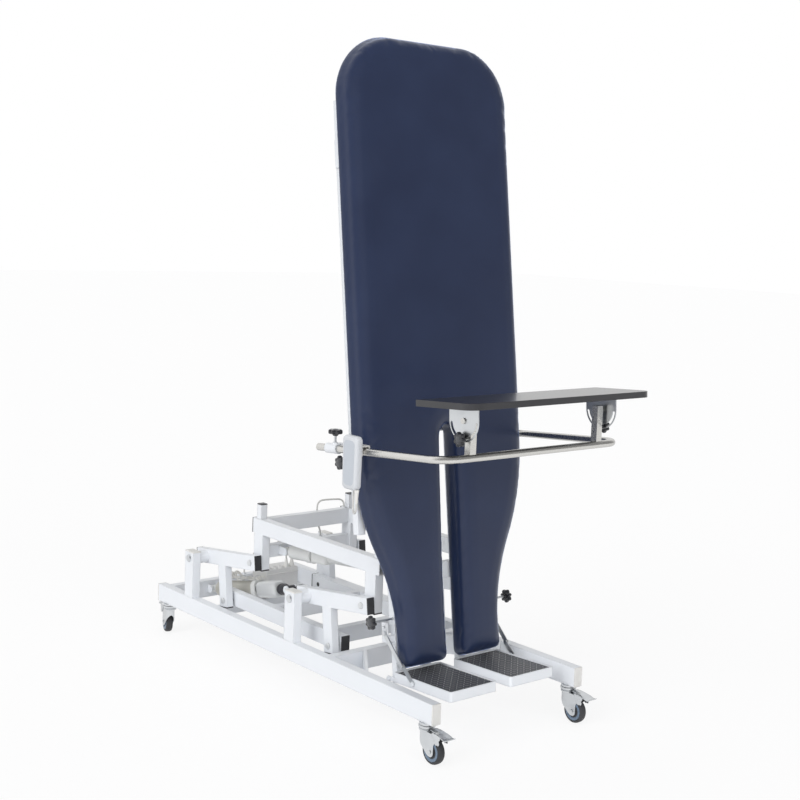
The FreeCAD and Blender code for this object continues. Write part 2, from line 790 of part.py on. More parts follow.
def pad_outline(inset, depth):
    """The outline of the table top, drawn in by inset, as a closed wire at a depth.

    Half of it runs from the middle of the top edge round to the top of the slot, as straight
    edges, the top corner, the shoulder and hip arcs, the two toe corners and the slot.
    """
    edge = pad_half - inset
    leg_edge = leg_half - inset
    top = pad_top - inset
    bottom = pad_bottom + inset
    corner = max(pad_corner - inset, pad_corner * 0.2)
    toe = max(toe_corner - inset, toe_corner * 0.2)
    slot = slot_half + inset
    swing = math.acos(1 - (pad_half - leg_half) / (shoulder_radius + hip_radius))
    shoulder = shoulder_radius - inset
    hip = hip_radius + inset
    mid_x = edge - shoulder * (1 - math.cos(swing))
    mid_z = shoulder_at - shoulder * math.sin(swing)
    hip_z = mid_z - hip * math.sin(swing)

    def at(x, z):
        return Vec(x, depth, z)

    def line(a, b):
        return Part.makeLine(at(a[0], a[1]), at(b[0], b[1]))

    def arc(a, b, c, radius):
        return quarter(at(a[0], a[1]), at(b[0], b[1]), at(c[0], c[1]), radius)

    half = [
        line((0, top), (edge - corner, top)),
        arc((edge - corner, top), (edge, top - corner), (edge - corner, top - corner), corner),
        line((edge, top - corner), (edge, shoulder_at)),
        arc((edge, shoulder_at), (mid_x, mid_z), (edge - shoulder, shoulder_at), shoulder),
        arc((mid_x, mid_z), (leg_edge, hip_z), (leg_edge + hip, hip_z), hip),
        line((leg_edge, hip_z), (leg_edge, bottom + toe)),
        arc((leg_edge, bottom + toe), (leg_edge - toe, bottom), (leg_edge - toe, bottom + toe), toe),
        line((leg_edge - toe, bottom), (slot + toe, bottom)),
        arc((slot + toe, bottom), (slot, bottom + toe), (slot + toe, bottom + toe), toe),
        line((slot, bottom + toe), (slot, slot_top_at)),
        arc((slot, slot_top_at), (0, slot_top_at + slot), (0, slot_top_at), slot),
    ]
    mirrored = [other_side(piece) for piece in reversed(half)]
    return Part.Wire(Part.__sortEdges__(half + mirrored))


# How far the pad's side is drawn in, against its depth behind the front, as shares of its thickness
pad_profile_shares = ((0.0, 1.05), (0.035, 0.56), (0.12, 0.24), (0.26, 0.065), (0.46, 0.0), (0.7, 0.015),
                      (0.88, 0.055), (1.0, 0.13))


def make_pad():
    wires = []
    for depth_share, inset_share in pad_profile_shares:
        wires.append(pad_outline(inset_share * pad_thick, depth_share * pad_thick))
    pad = Part.makeLoft(wires, True, True)
    edge = board_inset + pad_thick * pad_profile_shares[-1][1]
    pocket_face = Part.Face(pad_outline(edge, pad_thick - board_thick))
    pocket = pocket_face.extrude(Y_AXIS * (board_thick + cut_over))
    pad = pad.cut(pocket)
    board_face = Part.Face(pad_outline(edge + seat_gap, pad_thick - board_thick + seat_gap))
    board = board_face.extrude(Y_AXIS * (board_thick - seat_gap))
    keep("cushion", [on_table(pad)])
    keep("backing_board", [on_table(board)])


tilt_depth, tilt_height = to_table(tilt_y, tilt_z)
cross_heights = (250.0, 700.0, 1200.0, 1715.0)
wide_crosses = (415.0, 1275.0, 1640.0)
accessory_plate_at = 1466.0
accessory_plate_long = 82.0
accessory_plate_thick = 3.0
lever_plate_wide = 32.0


def make_table_frame():
    depths = span(pad_thick, guide_deep)
    outer_xs = (guide_outer - guide_wide, guide_outer)
    inner_xs = (guide_inner - guide_wide, guide_inner)
    outer = box_tube(outer_xs, depths, (guide_bottom, guide_top), "z")
    lug_xs = span(outer_xs[0], table_lug_thick)
    arm = block(lug_xs, (depths[1], tilt_depth), about(tilt_height, 2 * tilt_lug_radius))
    nose = cross_bar(lug_xs[0], lug_xs[1], tilt_depth, tilt_height, tilt_lug_radius)
    bore = cross_bar(0, base_width, tilt_depth, tilt_height, tilt_pin_radius + run_fit)
    knob_depth, knob_height = to_table(foot_knob_y, foot_knob_z)
    stem_hole = cross_bar(outer_xs[1] - 2 * tube_wall, base_width, knob_depth, knob_height,
                          stem_radius + run_fit)
    outer = union([outer, arm, nose]).cut(bore).cut(stem_hole)
    inner = box_tube(inner_xs, depths, (inner_guide_bottom, cross_heights[1] - cross_high / 2), "z")
    keep("table_guide_tubes", [on_table(piece) for piece in both_sides([outer, inner])])

    crosses = []
    half = outer_xs[0]
    for height in cross_heights:
        zs = about(height, cross_high)
        tube = box_tube((-half, half), depths, zs, "x")
        if height == cross_heights[0]:
            tube = lever_tube(tube, depths, inner_xs, zs)
        crosses.append(tube)
    arms = []
    accessory_inner = accessory_outer - accessory_side
    for height in wide_crosses:
        arm_depths = (accessory_depth, depths[1])
        arms.append(block((guide_outer, accessory_inner), arm_depths, about(height, accessory_side)))
    keep("table_cross_tubes", [on_table(piece) for piece in crosses + both_sides(arms)])

    tube_xs = (accessory_inner, accessory_outer)
    tube_depths = span(accessory_depth, accessory_side)
    tube = box_tube(tube_xs, tube_depths, (accessory_bottom, accessory_top), "z")
    end_cap = block(tube_xs, tube_depths, (accessory_bottom - cap_thick, accessory_bottom))
    top_cap = block(tube_xs, tube_depths, span(accessory_top, cap_thick))
    plate_xs = span(accessory_outer, accessory_plate_thick)
    plate = block(plate_xs, tube_depths, span(accessory_plate_at, accessory_plate_long))
    pieces = [tube, end_cap, top_cap, plate]
    keep("accessory_tubes", [on_table(piece) for piece in both_sides(pieces)])


def lever_tube(tube, depths, inner_xs, zs):
    """The lowest cross tube, opened for the inner guides and carrying the two lever plates."""
    for side in (-1, 1):
        window = (side * inner_xs[0], side * inner_xs[1])
        tube = tube.cut(block((min(window), max(window)), grown(depths, cut_over), grown(zs, cut_over)))
    pin = lever_pin()
    pin_depth, pin_height = to_table(pin.y, pin.z)
    gap_half = eye_wide / 2 + side_gap
    pieces = [tube]
    for side in (-1, 1):
        xs = (tilt_motor_x + side * gap_half, tilt_motor_x + side * (gap_half + ear_thick))
        plate = block(xs, (depths[1], pin_depth), about(pin_height, lever_plate_wide))
        nose = cross_bar(min(xs), max(xs), pin_depth, pin_height, lever_plate_wide / 2)
        nut = cross_bar(xs[1], xs[1] + side * ear_thick, pin_depth, pin_height, bolt_radius)
        pieces.append(union([plate, nose, nut]))
    return union(pieces)


# Footrest

slide_top_over = 190.0
slide_foot_below = 15.0
slide_height = to_table(foot_hinge_y, foot_hinge_z)[1]
hinge_depth = to_table(foot_hinge_y, foot_hinge_z)[0]
bracket_gap = 2.5
bracket_thick = 3.0
bracket_hole_pitch = 18.0
bracket_hole_back = 1.7
mat_top_below = 5.0


def make_footrests():
    depths = (pad_thick + tube_wall + seat_gap, pad_thick + guide_deep - tube_wall - seat_gap)
    wall = tube_wall + seat_gap
    outer_xs = (guide_outer - guide_wide + wall, guide_outer - wall)
    inner_xs = (guide_inner - guide_wide + wall, guide_inner - wall)
    low = slide_height - slide_foot_below
    outer = box_tube(outer_xs, depths, (low, guide_bottom + slide_top_over), "z")
    inner = box_tube(inner_xs, depths, (low, guide_bottom + slide_top_over), "z")
    pin = cross_bar(inner_xs[0], tray_outer, hinge_depth, slide_height, pin_radius)
    head_end = tray_outer + pin_radius
    head = cross_bar(tray_outer + seat_gap, head_end, hinge_depth, slide_height, bolt_radius)
    pin = union([pin, cross_bar(tray_outer, head_end, hinge_depth, slide_height, pin_radius), head])
    hole = cross_bar(0, tray_outer, hinge_depth, slide_height, pin_radius)

    eye_depth, eye_height = to_table(stay_eye_y, stay_eye_z)
    plate_low = tray_outer + bracket_gap
    plate_xs = span(plate_low, bracket_thick)
    plate_heights = (eye_height - 2 * stay_wide, eye_height + bracket_hole_pitch + stay_wide)
    plate = block(plate_xs, about(eye_depth, 2 * stay_wide), plate_heights)
    foot = block((outer_xs[1], plate_low), (depths[0] + cap_thick, depths[1]),
                 (plate_heights[0], eye_height - stay_wide / 2))
    bracket = union([plate, foot])
    for back, rise in ((0, 0), (bracket_hole_back, bracket_hole_pitch)):
        hole_at = (eye_depth + back, eye_height + rise)
        bracket = bracket.cut(cross_bar(outer_xs[1], base_width, hole_at[0], hole_at[1], pin_radius))
    foot_clear = slide_height + bolt_radius + side_gap
    above_hinge = block((0, base_width), (0, base_width), (foot_clear, pad_top))
    slide = union([outer.cut(hole), bracket.common(above_hinge)])
    pieces = [on_table(piece) for piece in (slide, inner.cut(hole), pin)]
    keep("footrest_slide_right", pieces)
    keep("footrest_slide_left", [other_side(piece) for piece in pieces])

    tray, mat = footplate()
    keep("footplate_right", [tray])
    keep("footplate_left", [other_side(tray)])
    keep("foot_mat_right", [mat])
    keep("foot_mat_left", [other_side(mat)])
    bar = stay(plate_xs[1] + side_gap)
    keep("stay_right", [bar])
    keep("stay_left", [other_side(bar)])


def footplate():
    """A shallow tray on a hinge barrel, and the mat that lies in it.

    Both are made level and then turned about the hinge, so that the front edge lies higher.
    """
    xs = (tray_inner, tray_outer)
    ys = (tray_front_y, tray_back_y)
    zs = span(tray_bottom, tray_high)
    hollow_zs = (tray_bottom + sheet_thick, zs[1] + cut_over)
    hollow = block(grown(xs, -sheet_thick), grown(ys, -sheet_thick), hollow_zs)
    hollow = round_uprights(hollow, tray_corner - sheet_thick)
    shell = round_uprights(block(xs, ys, zs), tray_corner).cut(hollow)
    ear_end = foot_hinge_y + bolt_radius
    ear = block((tray_outer - sheet_thick, tray_outer), (tray_back_y - tray_corner, ear_end),
                about(foot_hinge_z, 2 * bolt_radius))
    ear = ear.common(block(xs, (0, base_length), (tray_bottom, zs[1])))
    barrel_xs = (guide_inner + side_gap, guide_outer - guide_wide - side_gap)
    barrel = cross_bar(barrel_xs[0], barrel_xs[1], foot_hinge_y, foot_hinge_z, bolt_radius)
    web = block(barrel_xs, (tray_back_y - sheet_thick, foot_hinge_y), span(tray_bottom, sheet_thick))
    bore = cross_bar(0, base_width, foot_hinge_y, foot_hinge_z, pin_radius + run_fit)
    stay_pin = cross_bar(tray_outer, tray_outer + seat_gap + stay_thick + seat_gap, stay_foot_y, stay_foot_z,
                         pin_radius)
    head_x = tray_outer + 2 * seat_gap + stay_thick
    stay_head = cross_bar(head_x, head_x + sheet_thick, stay_foot_y, stay_foot_z, stay_wide / 2)
    hinge = Vec(0, foot_hinge_y, foot_hinge_z)
    tray = turned(union([shell, ear, barrel, web]).cut(bore), hinge, X_AXIS, -tray_slope)
    tray = union([tray, stay_pin, stay_head])
    mat_zs = (tray_bottom + sheet_thick, tray_bottom + tray_high - mat_top_below)
    mat_inset = sheet_thick + side_gap
    mat = block(grown(xs, -mat_inset), grown(ys, -mat_inset), mat_zs)
    mat = round_uprights(mat, tray_corner - mat_inset)
    return tray, turned(mat, hinge, X_AXIS, -tray_slope)


def stay(upper_x):
    """A flat bar with a sideways jog, from the bracket down to the side of the tray."""
    lower_x = tray_outer + seat_gap
    parts = []
    ends = ((stay_eye_y, stay_eye_z, stay_jog_y, stay_jog_z, upper_x),
            (stay_jog_y, stay_jog_z, stay_foot_y, stay_foot_z, lower_x))
    for y_a, z_a, y_b, z_b, x in ends:
        parts.append(flat_bar(x, y_a, z_a, y_b, z_b))
    jog = cross_bar(lower_x, upper_x + stay_thick, stay_jog_y, stay_jog_z, stay_wide / 2)
    head_from = upper_x + stay_thick
    head = cross_bar(head_from, head_from + stay_thick, stay_eye_y, stay_eye_z, bolt_radius * 0.9)
    bar = union(parts + [jog, head])
    return bar.cut(cross_bar(0, base_width, stay_foot_y, stay_foot_z, pin_radius + run_fit))


def flat_bar(x, y_a, z_a, y_b, z_b):
    """A flat bar with round ends, standing in a plane at one place on X."""
    way = Vec(0, y_b - y_a, z_b - z_a)
    side = way.cross(X_AXIS)
    side.normalize()
    side = side * (stay_wide / 2)
    start = Vec(x, y_a, z_a)
    end = Vec(x, y_b, z_b)
    corners = [start.add(side), end.add(side), end.sub(side), start.sub(side), start.add(side)]
    bar = Part.Face(Part.makePolygon(corners)).extrude(X_AXIS * stay_thick)
    rounds = [cross_bar(x, x + stay_thick, y, z, stay_wide / 2) for y, z in ((y_a, z_a), (y_b, z_b))]
    return union([bar] + rounds)


# Tray, its rail and its clamps

rail_wall = 1.5
sleeve_radius = 15.0
sleeve_from_y = 449.0
sleeve_to_y = 396.0
collar_wall = 6.0
collar_low = 585.0
collar_high = 655.0
side_knob_y = 388.0
side_knob_z = 792.0
side_knob_x = rail_half_span
top_knob_y = 415.0
top_knob_z = 880.0
lead_entry_y = 326.0


def rail_z(y):
    """Height of the rail's axis above the floor at a place along the table."""
    return rail_end_z + (rail_end_y - y) * math.tan(math.radians(rail_rise))


def rail_path(radius):
    """The rail's tube: two arms, two bends and the front run, all in one rising plane."""
    rise = math.radians(rail_rise)
    length = (rail_end_y - rail_front_y) / math.cos(rise)

    def at(x, along):
        return Vec(x, rail_end_y - along * math.cos(rise), rail_end_z + along * math.sin(rise))

    side = rail_half_span
    turn = rail_bend
    diagonal = turn * math.cos(math.radians(45))
    edges = []
    first = at(-side, length - turn)
    second = at(-side + turn, length)
    third = at(side - turn, length)
    fourth = at(side, length - turn)
    edges.append(Part.makeLine(at(-side, 0), first))
    middle = at(-side + turn - diagonal, length - turn + diagonal)
    edges.append(Part.Arc(first, middle, second).toShape())
    edges.append(Part.makeLine(second, third))
    middle = at(side - turn + diagonal, length - turn + diagonal)
    edges.append(Part.Arc(third, middle, fourth).toShape())
    edges.append(Part.makeLine(fourth, at(side, 0)))
    way = at(-side, 1).sub(at(-side, 0))
    circle = Part.Wire([Part.makeCircle(radius, at(-side, 0), way)])
    return Part.Wire(edges).makePipeShell([circle], True, False)


def make_tray():
    outer = rail_path(rail_radius)
    inner = rail_path(rail_radius - rail_wall)
    tube = outer.cut(inner)
    rise = math.radians(rail_rise)
    back = Vec(0, math.cos(rise), -math.sin(rise))
    end = Vec(-rail_half_span, rail_end_y, rail_end_z)
    plug_radius = rail_radius - rail_wall
    plug = cylinder(end.sub(back * rail_bend), end, plug_radius - seat_gap)
    lid = cylinder(end, end.add(back * rail_wall), rail_radius)
    plugs = both_sides([union([plug, lid])])
    post_ys = about(rail_front_y + (tray_pivot_y - rail_front_y) / 2, post_side)
    post_low = rail_z(rail_front_y)
    xs = about(post_x, post_side)
    post = block(xs, post_ys, (post_low, tray_pivot_z + bolt_head_radius))
    spacer = cross_bar(xs[1], plate_x - plate_thick / 2 - seat_gap, tray_pivot_y, tray_pivot_z, bolt_radius)
    pin = cross_bar(xs[1], plate_x + plate_thick, tray_pivot_y, tray_pivot_z, stem_radius)
    head = cross_bar(plate_x + plate_thick / 2 + seat_gap, plate_x + plate_thick / 2 + stem_radius,
                     tray_pivot_y, tray_pivot_z, bolt_radius)
    stem_hole = cross_bar(xs[1] - post_side / 2, base_width, tray_pivot_y, tray_pivot_z - slot_radius,
                          stem_radius + run_fit)
    post = union([post, spacer, pin, head]).cut(stem_hole).cut(outer)
    collar_top = rail_z(lead_entry_y)
    collar_low_end = collar_top - rail_radius - grommet_high - seat_gap
    collar = cylinder(Vec(-rail_half_span, lead_entry_y, collar_low_end),
                      Vec(-rail_half_span, lead_entry_y, collar_top), 2 * lead_radius).cut(outer)
    keep("tray_rail", [tube, collar] + both_sides([post]) + plugs)
    make_tray_board()
    make_clamps()


def make_tray_board():
    centre = Vec(0, tray_pivot_y, tray_pivot_z)
    ys = (tray_pivot_y - board_front, tray_pivot_y + board_back)
    low = tray_pivot_z + board_above
    xs = (board_left_short - rail_half_span, rail_half_span + board_right_over)
    board = block(xs, ys, span(low, board_high))
    corners = []
    for edge in board.Edges:
        upright = abs(edge.tangentAt(edge.FirstParameter).z) > 0.9
        if upright and edge.CenterOfMass.y < tray_pivot_y:
            corners.append(edge)
    board = board.makeFillet(board_corner, corners)
    keep("tray_board", [turned(board, centre, X_AXIS, -board_rise)])
    plate_xs = about(plate_x, plate_thick)
    upper = block(plate_xs, about(tray_pivot_y, 2 * plate_radius), (tray_pivot_z, low))
    below_ys = about(tray_pivot_y, 2 * plate_radius + cut_over)
    below = block(grown(plate_xs, cut_over), below_ys, (0, tray_pivot_z))
    lower = cross_bar(plate_xs[0], plate_xs[1], tray_pivot_y, tray_pivot_z, plate_radius).common(below)
    flange = block((post_x, plate_xs[1]), about(tray_pivot_y, 2 * plate_radius), (low - plate_thick, low))
    plate = union([upper, lower, flange])
    pin_hole = cross_bar(0, base_width, tray_pivot_y, tray_pivot_z, stem_radius + run_fit)
    plate = plate.cut(pin_hole).cut(arc_slot(plate_xs))
    keep("tray_brackets", both_sides([turned(plate, centre, X_AXIS, -board_rise)]))


def arc_slot(xs):
    """A curved slot about the tray's pivot, centred below it, for the clamping stem."""
    half = math.radians(slot_half_angle)
    width = stem_radius + open_fit
    length = (xs[1] - xs[0]) + 2 * cut_over
    x = xs[0] - cut_over

    def at(radius, angle):
        return Vec(x, tray_pivot_y + radius * math.sin(angle), tray_pivot_z - radius * math.cos(angle))

    outer = slot_radius + width
    inner = slot_radius - width
    edges = [
        Part.Arc(at(outer, -half), at(outer, 0), at(outer, half)).toShape(),
        Part.makeLine(at(outer, half), at(inner, half)),
        Part.Arc(at(inner, half), at(inner, 0), at(inner, -half)).toShape(),
        Part.makeLine(at(inner, -half), at(outer, -half)),
    ]
    slot = Part.Face(Part.Wire(edges)).extrude(X_AXIS * length)
    ends = []
    for angle in (-half, half):
        place = at(slot_radius, angle)
        ends.append(cylinder(place, place.add(X_AXIS * length), width))
    return union([slot] + ends)


def make_clamps():
    tube_xs = (accessory_outer - accessory_side, accessory_outer)
    tube_depths = span(accessory_depth, accessory_side)
    collar = block(grown(tube_xs, collar_wall), grown(tube_depths, collar_wall), (collar_low, collar_high))
    collar = on_table(collar)
    tube_space = on_table(block(grown(tube_xs, seat_gap), grown(tube_depths, seat_gap), (0, pad_top)))
    sleeve = cylinder(Vec(rail_half_span, sleeve_from_y, rail_z(sleeve_from_y)),
                      Vec(rail_half_span, sleeve_to_y, rail_z(sleeve_to_y)), sleeve_radius)
    sleeve_ys = (sleeve_to_y + cap_thick, sleeve_from_y - cap_thick)
    mid_z = rail_z((sleeve_from_y + sleeve_to_y) / 2)
    arm = block((accessory_outer, rail_half_span), sleeve_ys, about(mid_z, 2 * rail_radius))
    front = Vec(rail_half_span, 0, rail_z(0))
    back = Vec(rail_half_span, base_width, rail_z(base_width))
    rail_space = cylinder(front, back, rail_radius + run_fit)
    boss_from = accessory_outer + collar_wall
    boss = cross_bar(boss_from, boss_from + collar_wall, side_knob_y, side_knob_z, bolt_radius)
    side_hole = cross_bar(accessory_outer + seat_gap, base_width, side_knob_y, side_knob_z,
                          stem_radius + run_fit)
    top_hole = cylinder(Vec(rail_half_span, top_knob_y, rail_z(top_knob_y)),
                        Vec(rail_half_span, top_knob_y, top_knob_z), stem_radius + run_fit)
    boss_top = cylinder(Vec(rail_half_span, top_knob_y, rail_z(top_knob_y)),
                        Vec(rail_half_span, top_knob_y, rail_z(top_knob_y) + sleeve_radius + cap_thick),
                        bolt_radius)
    clamp = union([collar, sleeve, arm, boss, boss_top])
    clamp = cut_all(clamp, [tube_space, rail_space, side_hole, top_hole])
    keep("tray_clamps", both_sides([clamp]))


def make_knobs():
    out = X_AXIS
    foot = star_knob(Vec(foot_knob_x, foot_knob_y, foot_knob_z), out,
                     foot_knob_x - knob_thick / 2 - guide_outer + tube_wall)
    keep("footrest_knobs", both_sides([foot]))
    side = star_knob(Vec(side_knob_x, side_knob_y, side_knob_z), out,
                     side_knob_x - knob_thick / 2 - accessory_outer - seat_gap)
    keep("clamp_side_knobs", both_sides([side]))
    rise = math.radians(rail_rise)
    gap = rail_radius / math.cos(rise) + seat_gap + stem_radius * math.tan(rise)
    top_length = top_knob_z - knob_thick / 2 - rail_z(top_knob_y) - gap
    top = star_knob(Vec(rail_half_span, top_knob_y, top_knob_z), Z_AXIS, top_length)
    keep("clamp_top_knob_right", [top])
    keep("clamp_top_knob_left", [other_side(top)])
    tray_knob_x = plate_x + plate_thick / 2 + side_gap + knob_neck + knob_thick / 2
    tray = star_knob(Vec(tray_knob_x, tray_pivot_y, tray_pivot_z - slot_radius), out,
                     tray_knob_x - knob_thick / 2 - post_x - post_side / 4)
    keep("tray_knobs", both_sides([tray]))


# Handset and leads

handset_y = 284.0
handset_low = 735.0
handset_high = 890.0
handset_wide = 66.0
handset_beside_rail = 25.0
handset_back = -rail_half_span - handset_beside_rail
handset_thick = 25.0
handset_corner = 9.0
hook_thick = 3.0
hook_wide = 30.0
relief_radius = 5.0
relief_long = 37.0
relief_y = 258.0


def make_handset():
    xs = (handset_back - handset_thick, handset_back)
    body = block(xs, about(handset_y, handset_wide), (handset_low, handset_high))
    body = round_uprights(body, handset_corner)
    relief_x = (xs[0] + xs[1]) / 2
    relief = Part.makeCone(lead_radius * 1.2, relief_radius, relief_long,
                           Vec(relief_x, relief_y, handset_low - relief_long))
    axis_z = rail_z(handset_y)
    clear = rail_radius + side_gap
    hook_ys = about(handset_y, hook_wide)
    top_z = rail_z(handset_y - hook_wide / 2) + clear + seat_gap
    bridge = block((handset_back, -rail_half_span + clear + hook_thick), hook_ys, span(top_z, hook_thick))
    inner = -rail_half_span + clear
    lip = block((inner, inner + hook_thick), hook_ys, (axis_z, top_z + hook_thick))
    spine_zs = (axis_z - rail_radius, top_z + hook_thick)
    spine = block((handset_back, -rail_half_span - clear), hook_ys, spine_zs)
    keep("handset", [union([body, relief, bridge, lip, spine])])


def rounded_path(points):
    """Straight runs joined by tangent arcs, each as large as its two runs allow."""
    places = [Vec(x, y, z) for x, y, z in points]
    edges = []
    radii = []
    start = places[0]
    for before, corner, after in zip(places, places[1:], places[2:]):
        back = before.sub(corner)
        ahead = after.sub(corner)
        reach = 0.45 * min(back.Length, ahead.Length)
        turn = math.pi - back.getAngle(ahead)
        radii.append(reach / math.tan(turn / 2))
        back.normalize()
        ahead.normalize()
        arc_start = corner.add(back * reach)
        arc_end = corner.add(ahead * reach)
        centre_way = back.add(ahead)
        centre_way.normalize()
        depth = radii[-1] / math.cos(turn / 2) - radii[-1]
        edges.append(Part.LineSegment(start, arc_start).toShape())
        edges.append(Part.Arc(arc_start, corner.add(centre_way * depth), arc_end).toShape())
        start = arc_end
    edges.append(Part.LineSegment(start, places[-1]).toShape())
    return Part.Wire(edges), radii


def cord(name, points, radius):
    """A tube along a hand-chosen route; prints its length, its radii and its volume's share."""
    path, radii = rounded_path(points)
    way = Vec(*points[1]).sub(Vec(*points[0]))
    circle = Part.Wire([Part.makeCircle(radius, Vec(*points[0]), way)])
    tube = path.makePipeShell([circle], True, False)
    share = tube.Volume / (math.pi * radius ** 2 * path.Length)
    tightest = round(min(radii), 1)
    print(name, "length", round(path.Length, 1), "radii", [round(r, 1) for r in radii])
    print(name, "tightest", tightest, "volume against section times length", round(share, 4))
    keep(name, [tube])


# Routes of the leads, chosen by hand from where each lead leaves and enters
lead_x = -rail_half_span
handset_lead_route = (
    (lead_x - 37.5, 258.0, 698.0),
    (lead_x - 37.5, 258.0, 686.0),
    (lead_x - 35.0, 264.0, 672.0),
    (lead_x - 28.0, 279.0, 664.0),
    (lead_x - 19.0, 295.0, 670.0),
    (lead_x - 13.0, 304.0, 692.0),
    (lead_x - 9.5, 308.5, 722.0),
    (lead_x - 7.0, 311.0, 754.0),
    (lead_x - 4.0, 316.0, 780.0),
    (lead_x - 0.8, 323.5, 797.0),
    (lead_x, 326.0, 810.0),
    (lead_x, 326.0, 821.7),
)
box_lead_left_route = (
    (51.5, 1212.6, 277.1),
    (51.5, 1212.6, 291.0),
    (51.0, 1218.0, 307.0),
    (50.0, 1231.0, 324.0),
    (48.0, 1250.0, 338.0),
    (46.0, 1276.0, 345.0),
    (43.0, 1304.0, 342.0),
    (41.0, 1332.0, 328.0),
    (39.0, 1360.0, 304.0),
    (37.0, 1386.0, 275.0),
    (36.0, 1412.0, 246.0),
    (36.0, 1436.0, 220.0),
    (36.0, 1453.0, 200.0),
    (36.0, 1459.0, 187.0),
    (36.0, 1459.0, 176.0),
)
box_lead_right_route = (
    (75.5, 1212.6, 277.1),
    (75.5, 1212.6, 292.0),
    (77.0, 1218.0, 317.0),
    (82.0, 1235.0, 338.0),
    (90.0, 1263.0, 347.0),
    (97.0, 1297.0, 339.0),
    (101.0, 1332.0, 316.0),
    (103.0, 1366.0, 284.0),
    (104.0, 1398.0, 250.0),
    (104.0, 1428.0, 222.0),
    (104.0, 1452.0, 206.0),
    (104.0, 1459.0, 192.0),
    (104.0, 1459.0, 176.0),
)
frame_lead_route = (
    (64.0, 1029.0, 401.0),
    (64.0, 1029.0, 409.0),
    (63.7, 1034.0, 421.0),
    (63.0, 1042.0, 433.0),
    (62.0, 1048.0, 446.0),
    (61.0, 1050.0, 463.0),
    (61.0, 1050.0, 499.0),
    (64.0, 1049.3, 510.0),
    (72.0, 1047.3, 518.0),
    (83.0, 1044.6, 521.0),
    (138.0, 1030.6, 521.0),
    (149.0, 1027.8, 518.0),
    (157.0, 1025.8, 510.0),
    (160.0, 1025.0, 499.0),
    (160.0, 1025.0, 492.0),
)


def main():
    os.makedirs("parts", exist_ok=True)
    bolts = make_base()
    make_control_box()
    keep("base_hardware", bolts + make_castors())
    make_cranks()
    make_link_frame()
    make_upper_frame()
    make_actuators()
    make_pad()
    make_table_frame()
    make_footrests()
    make_tray()
    make_knobs()
    make_handset()
    cord("handset_lead", handset_lead_route, lead_radius)
    cord("box_lead_left", box_lead_left_route, lead_radius)
    cord("box_lead_right", box_lead_right_route, lead_radius)
    cord("frame_lead", frame_lead_route, lead_radius)
    for name, shape in nodes.items():
        shape.exportStep("parts/%s.step" % name)
        valid = all(solid.isValid() for solid in shape.Solids)
        print(name, len(shape.Solids), "solids", "valid" if valid else "not valid")
    print(len(nodes), "nodes")


main()
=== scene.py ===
"""The looks of a physiotherapy tilt table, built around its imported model. All lengths are in metres."""

import math

import bmesh
import bpy
import numpy as np
from mathutils import Matrix, Vector


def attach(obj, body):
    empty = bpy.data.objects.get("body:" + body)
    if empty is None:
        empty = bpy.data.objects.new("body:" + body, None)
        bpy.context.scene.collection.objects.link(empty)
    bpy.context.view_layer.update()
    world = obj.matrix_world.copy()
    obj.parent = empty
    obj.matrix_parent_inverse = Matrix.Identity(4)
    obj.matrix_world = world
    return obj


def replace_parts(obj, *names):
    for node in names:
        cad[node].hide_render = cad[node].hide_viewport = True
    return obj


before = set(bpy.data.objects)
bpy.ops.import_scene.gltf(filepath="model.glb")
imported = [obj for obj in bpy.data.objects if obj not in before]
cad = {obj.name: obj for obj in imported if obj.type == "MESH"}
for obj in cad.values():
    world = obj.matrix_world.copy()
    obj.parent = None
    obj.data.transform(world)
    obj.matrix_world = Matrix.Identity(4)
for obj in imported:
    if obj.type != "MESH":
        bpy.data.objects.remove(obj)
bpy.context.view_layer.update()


# Camera, from the photograph's own viewing point

camera_place = Vector((-2.73443, -2.7316, 1.48505))
camera_turn = math.radians(-40.15)
camera_pitch = math.radians(5.74)
camera_roll = math.radians(2.17)
camera_lens = 61.54
photo_side = 800
photo_middle = (409.06, 362.95)
camera_reach = 100.0


def make_camera():
    """The camera's axes are its right and up directions, turned by the roll about the way it looks."""
    look = Vector((
        -math.sin(camera_turn) * math.cos(camera_pitch),
        math.cos(camera_turn) * math.cos(camera_pitch),
        -math.sin(camera_pitch),
    ))
    level = Vector((math.cos(camera_turn), math.sin(camera_turn), 0))
    upright = level.cross(look)
    right = level * math.cos(camera_roll) + upright * math.sin(camera_roll)
    up = upright * math.cos(camera_roll) - level * math.sin(camera_roll)
    turn = Matrix((right, up, -look)).transposed().to_4x4()
    data = bpy.data.cameras.new("camera")
    data.lens = camera_lens
    data.shift_x = (photo_side / 2 - photo_middle[0]) / photo_side
    data.shift_y = (photo_middle[1] - photo_side / 2) / photo_side
    data.clip_end = camera_reach
    camera = bpy.data.objects.new("camera", data)
    camera.matrix_world = Matrix.Translation(camera_place) @ turn
    bpy.context.scene.collection.objects.link(camera)
    bpy.context.scene.camera = camera


# Node helpers


def new_node(tree, kind, **settings):
    """A new shader node with its attributes set."""
    node = tree.nodes.new(kind)
    for key, value in settings.items():
        setattr(node, key, value)
    return node


def set_input(tree, entry, value):
    """Sets a node's input to a number or a colour of three parts, or links a node's output to it."""
    if isinstance(value, bpy.types.NodeSocket):
        tree.links.new(value, entry)
    else:
        entry.default_value = (*value, 1) if isinstance(value, tuple) else value


def feed(tree, node, **values):
    """Sets a node's inputs by their names, in which underscores stand for spaces."""
    for key, value in values.items():
        set_input(tree, node.inputs[key.replace("_", " ")], value)
    return node


def math_node(tree, operation, *operands, clamp=False):
    """A Math node; each operand is a number or another node's output."""
    node = new_node(tree, "ShaderNodeMath", operation=operation, use_clamp=clamp)
    for entry, value in zip(node.inputs, operands):
        set_input(tree, entry, value)
    return node.outputs[0]


def total(tree, first, second, clamp=False):
    """The sum of two values."""
    return math_node(tree, "ADD", first, second, clamp=clamp)


